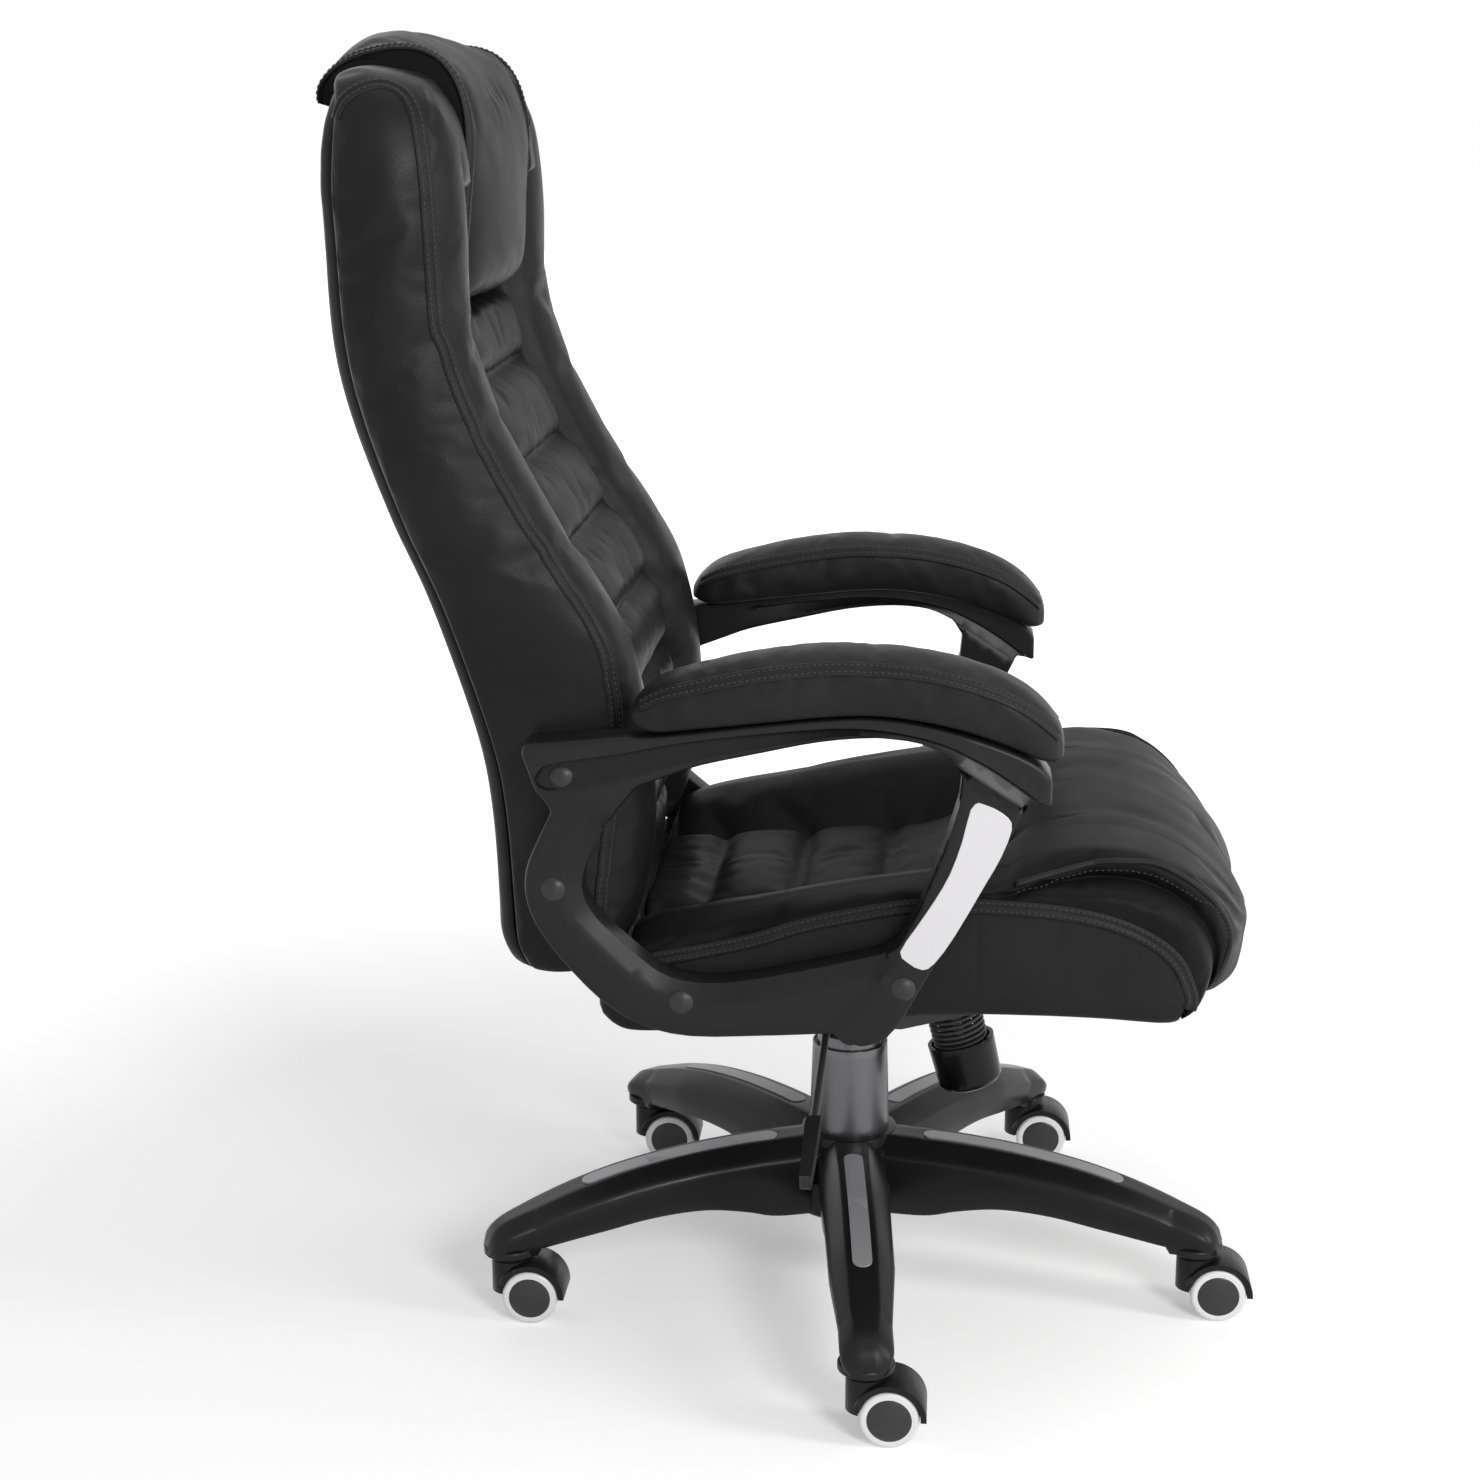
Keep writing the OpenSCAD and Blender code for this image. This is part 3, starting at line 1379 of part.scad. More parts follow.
base_star();
base_inlays();
caster_stems();
for (k = [1 : 5]) {
    caster_housing(k);
    caster_axle(k);
    caster_hubs(k);
    caster_tyres(k);
}
gas_stand_tube();
gas_guide_bush();
thrust_bearing();
gas_piston_rod();
bump_stop();
gas_pressure_tube();
gas_valve_pin();
cover_lower();
cover_middle();
cover_upper();
mechanism_housing();
tilt_axle();
lever_pivot_pin();
lever_cradle();
lever_rod();
lever_paddle();
tension_bolt();
tension_spring();
spring_washer();
tension_knob();
seat_plate();
seat_bolts();
seat_tee_nuts();
seat_board();
seat_dust_cover();
seat_base_cushion();
seat_top_cushion();
back_board();
back_rear_cover();
back_cushion();
headrest();
arm_frame(-1);  // arm_frame_right
arm_frame(1);  // arm_frame_left
arm_pads();
arm_inlays();
arm_bolts();
arm_bolt_caps();
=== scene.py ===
import bpy
import bmesh
import math
import numpy as np
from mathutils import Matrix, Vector
from mathutils.bvhtree import BVHTree
from mathutils.geometry import delaunay_2d_cdt


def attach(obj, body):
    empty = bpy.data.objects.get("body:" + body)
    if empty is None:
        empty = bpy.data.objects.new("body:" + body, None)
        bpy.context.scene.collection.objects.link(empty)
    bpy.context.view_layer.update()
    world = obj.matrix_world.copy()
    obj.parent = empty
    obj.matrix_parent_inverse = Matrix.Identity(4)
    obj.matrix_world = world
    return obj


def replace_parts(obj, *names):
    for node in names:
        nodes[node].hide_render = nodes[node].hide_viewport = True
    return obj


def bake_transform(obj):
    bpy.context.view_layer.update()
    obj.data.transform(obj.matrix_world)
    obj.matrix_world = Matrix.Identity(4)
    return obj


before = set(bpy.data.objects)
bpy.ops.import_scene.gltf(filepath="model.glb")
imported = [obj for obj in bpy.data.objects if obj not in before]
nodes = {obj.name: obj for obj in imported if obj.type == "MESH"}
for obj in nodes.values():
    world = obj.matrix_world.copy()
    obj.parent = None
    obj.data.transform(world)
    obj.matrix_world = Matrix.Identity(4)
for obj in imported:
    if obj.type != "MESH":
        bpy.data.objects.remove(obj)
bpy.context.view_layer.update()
mm = 0.001  # the tables below are in millimetres
sides = (("right", -1), ("left", 1))  # the chair's own right has negative y

# camera

shot = {"place": (85, -2333, 1104), "lookDown": 14.23, "turn": 4.6, "lens": 64.82, "filmWidth": 36}

camData = bpy.data.cameras.new("shotCamera")
camData.lens = shot["lens"]
camData.sensor_width = shot["filmWidth"]
camera = bpy.data.objects.new("shotCamera", camData)
camera.location = [v * mm for v in shot["place"]]
camera.rotation_euler = (math.radians(90 - shot["lookDown"]), 0, math.radians(shot["turn"]))
bpy.context.scene.collection.objects.link(camera)
bpy.context.scene.camera = camera
bpy.context.scene.view_settings.view_transform = "Standard"
print("camera placed")


# helpers for shader nodes

def link(tree, a, outName, b, inName):
    tree.links.new(a.outputs[outName], b.inputs[inName])


def newGroup(name, inputs, outputs):
    group = bpy.data.node_groups.new(name, "ShaderNodeTree")
    kinds = {"float": "NodeSocketFloat", "color": "NodeSocketColor", "vector": "NodeSocketVector"}
    for label, kind, value in inputs:
        socket = group.interface.new_socket(name=label, in_out="INPUT", socket_type=kinds[kind])
        socket.default_value = value
    for label, kind in outputs:
        group.interface.new_socket(name=label, in_out="OUTPUT", socket_type=kinds[kind])
    return group, group.nodes.new("NodeGroupInput"), group.nodes.new("NodeGroupOutput")


def addNode(tree, kind, **values):
    node = tree.nodes.new(kind)
    for key, value in values.items():
        setattr(node, key, value)
    return node


def mixColors(tree, factor, a, b):
    # factor, a and b are (node, output name)
    mix = addNode(tree, "ShaderNodeMix", data_type="RGBA")
    tree.links.new(factor[0].outputs[factor[1]], mix.inputs[0])
    tree.links.new(a[0].outputs[a[1]], mix.inputs[6])
    tree.links.new(b[0].outputs[b[1]], mix.inputs[7])
    return mix


def mapValue(tree, source, fromLow, fromHigh, toLow, toHigh):
    # toLow and toHigh are numbers, or (node, output name)
    spread = addNode(tree, "ShaderNodeMapRange")
    tree.links.new(source[0].outputs[source[1]], spread.inputs[0])
    for i, v in enumerate((fromLow, fromHigh, toLow, toHigh)):
        if isinstance(v, tuple):
            tree.links.new(v[0].outputs[v[1]], spread.inputs[i + 1])
        else:
            spread.inputs[i + 1].default_value = v
    return spread


def addNoise(group, vector, detail=2.0, scale=None, distortion=0.0):
    # vector is (node, output name)
    noise = addNode(group, "ShaderNodeTexNoise")
    noise.inputs["Detail"].default_value = detail
    noise.inputs["Distortion"].default_value = distortion
    if scale is not None:
        noise.inputs["Scale"].default_value = scale
    group.links.new(vector[0].outputs[vector[1]], noise.inputs["Vector"])
    return noise


def addBump(group, start, depthName, height, distance):
    # height is (node, output)
    bump = addNode(group, "ShaderNodeBump")
    bump.inputs["Distance"].default_value = distance
    link(group, start, depthName, bump, "Strength")
    group.links.new(height[0].outputs[height[1]], bump.inputs["Height"])
    return bump


def stretchedPlace(group, start):
    place = addNode(group, "ShaderNodeTexCoord")
    stretch = addNode(group, "ShaderNodeVectorMath", operation="MULTIPLY")
    group.links.new(place.outputs["Object"], stretch.inputs[0])
    group.links.new(start.outputs["Stretch"], stretch.inputs[1])
    return stretch, 0


def closeGroup(group, end, color, rough, bump):
    group.links.new(color.outputs[2], end.inputs["Color"])
    group.links.new(rough.outputs[0], end.inputs["Roughness"])
    link(group, bump, "Normal", end, "Normal")
    return group


# pebbled leather: fine grain, soft hand creases, slow change of tone
def makeLeatherGroup():
    group, start, end = newGroup("leatherHide", [
        ("Deep Color", "color", (0.008, 0.008, 0.009, 1)), ("Worn Color", "color", (0.02, 0.02, 0.021, 1)),
        ("Grain Size", "float", 620), ("Grain Depth", "float", 0.25), ("Crease Size", "float", 26),
        ("Crease Depth", "float", 0.3), ("Low Rough", "float", 0.36), ("High Rough", "float", 0.52),
    ], [("Color", "color"), ("Roughness", "float"), ("Normal", "vector")])
    place = addNode(group, "ShaderNodeTexCoord")
    grain = addNode(group, "ShaderNodeTexVoronoi", feature="SMOOTH_F1")
    link(group, place, "Object", grain, "Vector")
    pores = addNoise(group, (place, "Object"), scale=1600)
    folds = addNoise(group, (place, "Object"), detail=3, distortion=0.8)
    slow = addNoise(group, (place, "Object"), scale=7)
    link(group, start, "Grain Size", grain, "Scale")
    link(group, start, "Crease Size", folds, "Scale")
    foldBump = addBump(group, start, "Crease Depth", (folds, "Fac"), 0.003)
    heights = addNode(group, "ShaderNodeMath", operation="ADD")
    link(group, grain, "Distance", heights, 0)
    link(group, pores, "Fac", heights, 1)
    grainBump = addBump(group, start, "Grain Depth", (heights, 0), 0.0004)
    link(group, foldBump, "Normal", grainBump, "Normal")
    tone = mapValue(group, (slow, "Fac"), 0.35, 0.7, 0.0, 1.0)
    color = mixColors(group, (tone, 0), (start, "Deep Color"), (start, "Worn Color"))
    rough = mapValue(group, (folds, "Fac"), 0.3, 0.7, (start, "Low Rough"), (start, "High Rough"))
    return closeGroup(group, end, color, rough, grainBump)


# moulded plastic: fine spark texture, faint flow marks, and sharp edges painted a little lighter as a painted
# highlight
def makeMouldedGroup():
    group, start, end = newGroup("mouldedSkin", [
        ("Color", "color", (0.02, 0.02, 0.021, 1)), ("Edge Color", "color", (0.06, 0.06, 0.062, 1)),
        ("Texture Size", "float", 900), ("Texture Depth", "float", 0.2), ("Low Rough", "float", 0.38),
        ("High Rough", "float", 0.5),
    ], [("Color", "color"), ("Roughness", "float"), ("Normal", "vector")])
    place = addNode(group, "ShaderNodeTexCoord")
    spark = addNoise(group, (place, "Object"), detail=4)
    flow = addNoise(group, (place, "Object"), scale=9)
    link(group, start, "Texture Size", spark, "Scale")
    bump = addBump(group, start, "Texture Depth", (spark, "Fac"), 0.0003)
    rough = mapValue(group, (flow, "Fac"), 0.35, 0.65, (start, "Low Rough"), (start, "High Rough"))
    shape = addNode(group, "ShaderNodeNewGeometry")
    # painted highlight: sharp edges, found by pointiness, are mixed toward Edge Color (on the wheel caps that colour
    # is darker)
    edge = mapValue(group, (shape, "Pointiness"), 0.52, 0.62, 0.0, 0.7)
    color = mixColors(group, (edge, 0), (start, "Color"), (start, "Edge Color"))
    return closeGroup(group, end, color, rough, bump)


# satin or brushed metal: fine lines stretched along one direction
def makeBrushedGroup():
    group, start, end = newGroup("brushedLines", [
        ("Color", "color", (0.3, 0.3, 0.31, 1)), ("Line Color", "color", (0.36, 0.36, 0.37, 1)),
        ("Stretch", "vector", (60, 900, 900)), ("Depth", "float", 0.15), ("Low Rough", "float", 0.25),
        ("High Rough", "float", 0.4),
    ], [("Color", "color"), ("Roughness", "float"), ("Normal", "vector")])
    lines = addNoise(group, stretchedPlace(group, start), detail=3, scale=1)
    bump = addBump(group, start, "Depth", (lines, "Fac"), 0.0002)
    rough = mapValue(group, (lines, "Fac"), 0.3, 0.7, (start, "Low Rough"), (start, "High Rough"))
    color = mixColors(group, (lines, "Fac"), (start, "Color"), (start, "Line Color"))
    return closeGroup(group, end, color, rough, bump)


# plies and grain of the wooden boards, and the weave of the dust cloth
def makeBandedGroup():
    group, start, end = newGroup("bandedFibres", [
        ("Color", "color", (0.42, 0.27, 0.14, 1)), ("Band Color", "color", (0.26, 0.15, 0.07, 1)),
        ("Stretch", "vector", (20, 20, 500)), ("Depth", "float", 0.3),
    ], [("Color", "color"), ("Roughness", "float"), ("Normal", "vector")])
    fibres = addNoise(group, stretchedPlace(group, start), detail=5, scale=1)
    color = mixColors(group, (fibres, "Fac"), (start, "Band Color"), (start, "Color"))
    bump = addBump(group, start, "Depth", (fibres, "Fac"), 0.0005)
    rough = mapValue(group, (fibres, "Fac"), 0.3, 0.7, 0.55, 0.75)
    return closeGroup(group, end, color, rough, bump)


hideGroup = makeLeatherGroup()
mouldGroup = makeMouldedGroup()
brushGroup = makeBrushedGroup()
fibreGroup = makeBandedGroup()


def makeMaterial(name, group, groupValues, shaderValues=None):
    material = bpy.data.materials.new(name)
    material.use_nodes = True
    tree = material.node_tree
    shader = tree.nodes["Principled BSDF"]
    finish = tree.nodes.new("ShaderNodeGroup")
    finish.node_tree = group
    for key, value in groupValues.items():
        finish.inputs[key].default_value = value
    for output, socket in (("Color", "Base Color"), ("Roughness", "Roughness"), ("Normal", "Normal")):
        link(tree, finish, output, shader, socket)
    for key, value in (shaderValues or {}).items():
        shader.inputs[key].default_value = value
    return material


def grey(v, tint=1.03):
    return (v, v * 0.985, v * tint, 1)


leather = makeMaterial("blackHide", hideGroup, {
    "Deep Color": grey(0.0085), "Worn Color": grey(0.0135), "Crease Depth": 0.1,
    "Low Rough": 0.32, "High Rough": 0.46}, {"Specular IOR Level": 0.12})
panelLeather = makeMaterial("panelHide", hideGroup, {
    "Deep Color": grey(0.008), "Worn Color": grey(0.013), "Crease Size": 14, "Crease Depth": 0.04,
    "Low Rough": 0.36, "High Rough": 0.48}, {"Specular IOR Level": 0.04})
padLeather = makeMaterial("armPadHide", hideGroup, {
    "Deep Color": grey(0.011), "Worn Color": grey(0.017), "Grain Depth": 0.3, "Crease Depth": 0.06,
    "Low Rough": 0.34, "High Rough": 0.48}, {"Specular IOR Level": 0.12})
seamLeather = makeMaterial("seamHide", hideGroup, {
    "Deep Color": grey(0.014), "Worn Color": grey(0.024), "Crease Depth": 0.06, "Low Rough": 0.34},
    {"Specular IOR Level": 0.09})
thread = makeMaterial("sewingThread", brushGroup, {
    "Color": grey(0.02), "Line Color": grey(0.045), "Stretch": (1500, 1500, 1500), "Depth": 0.5,
    "Low Rough": 0.5, "High Rough": 0.7}, {"Specular IOR Level": 0.25})
# in the moulded finishes below, Edge Color paints a highlight along sharp edges; the wheel caps' edge colour is
# darker than their body
nylon = makeMaterial("blackNylon", mouldGroup, {
    "Color": grey(0.008), "Edge Color": grey(0.022), "Low Rough": 0.28, "High Rough": 0.38},
    {"Specular IOR Level": 0.19})
armPlastic = makeMaterial("armPlastic", mouldGroup, {
    "Color": grey(0.006), "Edge Color": grey(0.02), "Low Rough": 0.34, "High Rough": 0.44},
    {"Specular IOR Level": 0.22})
glossPlastic = makeMaterial("glossyKnob", mouldGroup, {
    "Color": grey(0.003), "Edge Color": grey(0.008), "Low Rough": 0.2, "High Rough": 0.3,
    "Texture Depth": 0.05}, {"Specular IOR Level": 0.2})
leverPlastic = makeMaterial("leverPlastic", mouldGroup, {
    "Color": grey(0.008), "Edge Color": grey(0.06), "Low Rough": 0.3, "High Rough": 0.4},
    {"Specular IOR Level": 0.3})
capPlastic = makeMaterial("capPlastic", mouldGroup, {
    "Color": grey(0.022), "Edge Color": grey(0.045), "Low Rough": 0.34, "High Rough": 0.44},
    {"Specular IOR Level": 0.3})
wheelCap = makeMaterial("wheelCapPlastic", mouldGroup, {
    "Color": grey(0.03), "Edge Color": grey(0.012), "Low Rough": 0.28, "High Rough": 0.38},
    {"Specular IOR Level": 0.35})
tyreWhite = makeMaterial("softTyre", mouldGroup, {
    "Color": grey(0.72, 1.0), "Edge Color": grey(0.85, 1.0), "Low Rough": 0.3, "High Rough": 0.42,
    "Texture Depth": 0.05})
bushWhite = makeMaterial("bushPlastic", mouldGroup, {
    "Color": grey(0.6, 1.0), "Edge Color": grey(0.7, 1.0), "Low Rough": 0.4, "High Rough": 0.5})
bumpRubber = makeMaterial("bumpRubber", mouldGroup, {
    "Color": grey(0.015), "Edge Color": grey(0.03), "Low Rough": 0.7, "High Rough": 0.85})
satinInlay = makeMaterial("satinInlay", brushGroup, {
    "Color": grey(0.27), "Line Color": grey(0.31), "Stretch": (300, 300, 300), "Depth": 0.05,
    "Low Rough": 0.38, "High Rough": 0.46}, {"Metallic": 0.2})
silverInlay = makeMaterial("silverInlay", brushGroup, {
    "Color": grey(0.58, 1.01), "Line Color": grey(0.63, 1.01), "Stretch": (500, 500, 500), "Depth": 0.1,
    "Low Rough": 0.34, "High Rough": 0.44}, {"Metallic": 0.3})
sleeveGrey = makeMaterial("sleevePaint", brushGroup, {
    "Color": grey(0.13), "Line Color": grey(0.145), "Stretch": (700, 700, 40), "Depth": 0.02,
    "Low Rough": 0.3, "High Rough": 0.34}, {"Metallic": 0.85})
brightSteel = makeMaterial("brightSteel", brushGroup, {
    "Color": grey(0.5, 1.0), "Line Color": grey(0.62, 1.0), "Stretch": (800, 800, 60)}, {"Metallic": 1.0})
# its lighter Edge Color is a painted highlight along sharp edges
paintedSteel = makeMaterial("paintedSteel", mouldGroup, {
    "Color": grey(0.018), "Edge Color": grey(0.06), "Texture Size": 500, "Low Rough": 0.4, "High Rough": 0.55})
plyMaterial = makeMaterial("plywoodBoard", fibreGroup, {})
stainedPly = makeMaterial("stainedBoard", fibreGroup, {"Color": grey(0.014), "Band Color": grey(0.009)})
dustMaterial = makeMaterial("dustCloth", fibreGroup, {
    "Color": grey(0.02), "Band Color": grey(0.012), "Stretch": (1400, 1400, 1400), "Depth": 0.5})
print("materials made")


# floor, backdrop and lamps

studio = {
    "worldGlow": 0.42, "floorWhite": 0.86, "floorReach": 14,
    # the floor's own light near the chair, and where it starts and stops growing to full
    "floorGlow": 0.3, "glowFrom": 0.8, "glowTo": 2.6,
    # each lamp's place, the spot it faces, its width and height, all in metres, and its power
    "lamps": {
        "keyLamp": ((1.5, -2.9, 1.9), (0, 0, 0.6), (0.9, 0.9), 62),
        "fillLamp": ((2.7, -0.9, 1.6), (-0.1, 0, 0.6), (0.6, 1.4), 34),
        "topLamp": ((0.2, 0.3, 3.0), (0, 0, 0.5), (2.2, 2.2), 12),
        "rimLamp": ((-1.5, 2.4, 2.0), (0, 0, 0.7), (1.6, 1.6), 6),
    },
}


def addLamp(name, place, aim, size, power):
    data = bpy.data.lights.new(name, "AREA")
    data.shape = "RECTANGLE"
    data.size, data.size_y = size
    data.energy = power
    lamp = bpy.data.objects.new(name, data)
    lamp.location = place
    lamp.rotation_euler = (Vector(aim) - Vector(place)).to_track_quat("-Z", "Y").to_euler()
    bpy.context.scene.collection.objects.link(lamp)


def seenBy(tree, first, *others):
    # 1 for any of the named kinds of ray
    path = last = tree.nodes.new("ShaderNodeLightPath")
    output = first
    for name in others:
        most = addNode(tree, "ShaderNodeMath", operation="MAXIMUM")
        tree.links.new(last.outputs[output], most.inputs[0])
        tree.links.new(path.outputs[name], most.inputs[1])
        last, output = most, 0
    return last


def makeFloor():
    mesh = bpy.data.meshes.new("studioFloor")
    r = studio["floorReach"]
    mesh.from_pydata([(-r, -r, 0), (r, -r, 0), (r, r, 0), (-r, r, 0)], [], [(0, 1, 2, 3)])
    floor = bpy.data.objects.new("studioFloor", mesh)
    bpy.context.scene.collection.objects.link(floor)
    material = bpy.data.materials.new("paleFloor")
    material.use_nodes = True
    tree = material.node_tree
    shader = tree.nodes["Principled BSDF"]
    shader.inputs["Base Color"].default_value = (studio["floorWhite"],) * 3 + (1,)
    shader.inputs["Roughness"].default_value = 0.9
    shader.inputs["Specular IOR Level"].default_value = 0.1
    shader.inputs["Emission Color"].default_value = (1, 1, 1, 1)
    seen = seenBy(tree, "Is Camera Ray", "Is Glossy Ray")
    place = addNode(tree, "ShaderNodeTexCoord")
    far = addNode(tree, "ShaderNodeVectorMath", operation="LENGTH")
    tree.links.new(place.outputs["Object"], far.inputs[0])
    fade = mapValue(tree, (far, "Value"), studio["glowFrom"], studio["glowTo"], studio["floorGlow"], 1.0)
    glow = addNode(tree, "ShaderNodeMath", operation="MULTIPLY")
    tree.links.new(seen.outputs[0], glow.inputs[0])
    tree.links.new(fade.outputs[0], glow.inputs[1])
    tree.links.new(glow.outputs[0], shader.inputs["Emission Strength"])
    mesh.materials.append(material)


def makeBackdrop():
    # white where it is seen, weaker as a light
    world = bpy.data.worlds.new("softStudio")
    bpy.context.scene.world = world
    world.use_nodes = True
    tree = world.node_tree
    sky = tree.nodes["Background"]
    sky.inputs["Color"].default_value = (1, 1, 1, 1)
    seen = seenBy(tree, "Is Camera Ray", "Is Transmission Ray", "Is Glossy Ray")
    level = mapValue(tree, (seen, 0), 0.0, 1.0, studio["worldGlow"], 1.0)
    tree.links.new(level.outputs[0], sky.inputs["Strength"])


makeFloor()
makeBackdrop()
for lampName, lampValues in studio["lamps"].items():
    addLamp(lampName, *lampValues)
print("floor and lamps set")


# helpers for lines and meshes

def unit(rows):
    return rows / np.maximum(np.linalg.norm(rows, axis=1, keepdims=True), 1e-9)


def runOf(line):
    # how far along the line each of its points lies
    return np.r_[0, np.cumsum(np.linalg.norm(np.diff(line, axis=0), axis=1))]


def smoothLine(points, steps):
    # a curve through the points, with so many steps from each to the next
    p = np.array(points, float)
    a = np.vstack([p[:1], p, p[-1:]])
    out = []
    for i in range(len(p) - 1):
        p0, p1, p2, p3 = a[i:i + 4]
        for k in range(steps):
            t = k / steps
            out.append(0.5 * (2 * p1 + (p2 - p0) * t + (2 * p0 - 5 * p1 + 4 * p2 - p3) * t * t
                              + (3 * p1 - p0 - 3 * p2 + p3) * t ** 3))
    return np.array(out + [p[-1]])


def evenLine(line, spacing):
    # the same line again with points an even distance apart
    line = np.array(line, float)
    run = runOf(line)
    count = max(2, int(round(run[-1] / spacing)) + 1)
    at = np.linspace(0, run[-1], count)
    return np.stack([np.interp(at, run, line[:, i]) for i in range(line.shape[1])], 1)


def ramp(value, start, run):
    # 0 at start and 1 at start + run, and the same beyond them
    return np.clip((value - start) / run, 0, 1)


def lookUp(table):
    # a function of the table's second column that gives the first, through a smooth line
    line = smoothLine(table, 6)
    order = np.argsort(line[:, 1], kind="stable")
    xs, zs = line[order, 0], line[order, 1]
    return lambda z: np.interp(z, zs, xs)


def lineAt(table, steps=6):
    # a function of the table's first column that gives the second
    line = smoothLine(table, steps)
    return lambda x: np.interp(x, line[:, 0], line[:, 1])


def skinFaces(rows, cols):
    # a closed skin over rings of points, with a cap at each end
    faces = []
    for j in range(rows - 1):
        for i in range(cols):
            a, b = j * cols + i, j * cols + (i + 1) % cols
            faces.append((a, b, b + cols, a + cols))
    faces.append(tuple(reversed(range(cols))))
    faces.append(tuple(range((rows - 1) * cols, rows * cols)))
    return faces


def makePiece(name, points, faces, material, body, sharp=None):
    # points in mm; the faces are turned outward, shaded smooth, and split by angle if sharp is given
    mesh = bpy.data.meshes.new(name)
    mesh.from_pydata([tuple(float(c) * mm for c in p) for p in points], [], [tuple(map(int, f)) for f in faces])
    work = bmesh.new()
    work.from_mesh(mesh)
    bmesh.ops.recalc_face_normals(work, faces=work.faces)
    work.to_mesh(mesh)
    work.free()
    mesh.polygons.foreach_set("use_smooth", [True] * len(mesh.polygons))
    if sharp is not None:
        mesh.set_sharp_from_angle(angle=math.radians(sharp))
    mesh.materials.append(material)
    piece = bpy.data.objects.new(name, mesh)
    bpy.context.scene.collection.objects.link(piece)
    if body:
        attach(piece, body)
    return piece


def skinRings(name, rings, material):
    # the rings of a soft piece, as one closed cover on the seat's body
    points = np.array(rings)
    rows, cols = points.shape[:2]
    return makePiece(name, points.reshape(-1, 3), skinFaces(rows, cols), material, "upper")


def finishSoft(piece, node):
    sub = piece.modifiers.new("softer", "SUBSURF")
    sub.levels = sub.render_levels = 1
    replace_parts(piece, node)


stuffing = {"quality": 4, "mass": 0.25, "stiff": 12.0, "shear": 0.6, "bend": 0.6}


def readPoints(mesh):
    points = np.zeros(len(mesh.vertices) * 3)
    mesh.vertices.foreach_get("co", points)
    return points.reshape(-1, 3)


# air pressure inside a closed cover, held at its seams, with a little spare leather
def puff(piece, held, pressure, limit, spare, frames=18):
    scene = bpy.context.scene
    group = piece.vertex_groups.new(name="held")
    group.add([int(i) for i in np.nonzero(held)[0]], 1.0, "REPLACE")
    cloth = piece.modifiers.new("stuffing", "CLOTH")
    values = cloth.settings
    values.quality = stuffing["quality"]
    values.mass = stuffing["mass"]
    values.tension_stiffness = values.compression_stiffness = stuffing["stiff"]
    values.shear_stiffness = stuffing["stiff"] * stuffing["shear"]
    values.bending_stiffness = stuffing["bend"]
    values.vertex_group_mass = "held"
    values.use_pressure = True
    values.uniform_pressure_force = pressure
    values.shrink_min = -spare
    values.effector_weights.gravity = 0
    cloth.collision_settings.use_collision = False
    cloth.point_cache.frame_start = 1
    cloth.point_cache.frame_end = frames
    for f in range(1, frames + 1):
        scene.frame_set(f)
    shaped = piece.evaluated_get(bpy.context.evaluated_depsgraph_get()).to_mesh()
    rest = readPoints(piece.data)
    move = readPoints(shaped) - rest
    size = np.linalg.norm(move, axis=1, keepdims=True)
    cap = limit * mm
    keep = np.where(size > 1e-9, cap * np.tanh(size / cap) / np.maximum(size, 1e-9), 0)
    piece.modifiers.remove(cloth)
    scene.frame_set(1)
    piece.data.vertices.foreach_set("co", (rest + move * keep).ravel())
    piece.data.update()
    print("  stuffed", piece.name, "most", round(float(size.max()) / mm, 1), "mm")


seam = {
    # how far a seam looks for the cover below it, and how far apart its points lie
    "reach": 30, "spacing": 4.0,
    # a stitch's length, pitch and half thickness; the rows' places across the band, and how high they lie
    "length": 3.5, "pitch": 4.9, "thick": 0.55, "rows": (-3.1, 3.1), "lift": 1.45, "sides": 5,
}


def surfaceOf(piece):
    # a search tree over the finished surface, in mm
    shaped = piece.evaluated_get(bpy.context.evaluated_depsgraph_get()).to_mesh()
    points = [v.co / mm for v in shaped.vertices]
    return BVHTree.FromPolygons(points, [tuple(p.vertices) for p in shaped.polygons])


def lieOn(tree, line):
    # the line dropped on the surface, with the surface's direction at each point
    spots, outs = [], []
    for p in line:
        hit = tree.find_nearest(Vector(p), seam["reach"])
        spots.append(np.array(hit[0]) if hit[0] else np.array(p, float))
        outs.append(np.array(hit[1]) if hit[0] else np.array((0, 0, 1.0)))
    outs = np.array(outs)
    soft = outs.copy()
    for k in (1, 2, 3):
        soft[k:] += outs[:-k]
        soft[:-k] += outs[k:]
    spots = np.array(spots)
    even = spots.copy()
    even[1:-1] = (spots[:-2] + spots[1:-1] * 2 + spots[2:]) / 4
    return even, unit(soft)


def alongAndAcross(spots, outs):
    along = unit(np.gradient(spots, axis=0))
    return along, unit(np.cross(outs, along))


# the raised double band of a felled seam: (across, out)
bandShape = [(-6, -1.2), (-6.2, 0.2), (-5.2, 1.1), (-3.2, 1.4), (-1.1, 1.2), (0, 0.2), (1.1, 1.2), (3.2, 1.4),
             (5.2, 1.1), (6.2, 0.2), (6, -1.2)]
# a piping cord, and a plain sewn crease
cordShape = [(2.6 * math.cos(a), 2.6 * math.sin(a) + 0.9) for a in np.linspace(-0.6, math.pi + 0.6, 9)]
creaseShape = [(-2.2, -0.8), (-1.9, 0.25), (-0.9, 0.5), (0, -0.5), (0.9, 0.5), (1.9, 0.25), (2.2, -0.8)]


def runShape(name, spots, outs, shape):
    across = alongAndAcross(spots, outs)[1]
    skinRings(name, [[s + c * a + o * h for a, h in shape] for s, c, o in zip(spots, across, outs)], seamLeather)


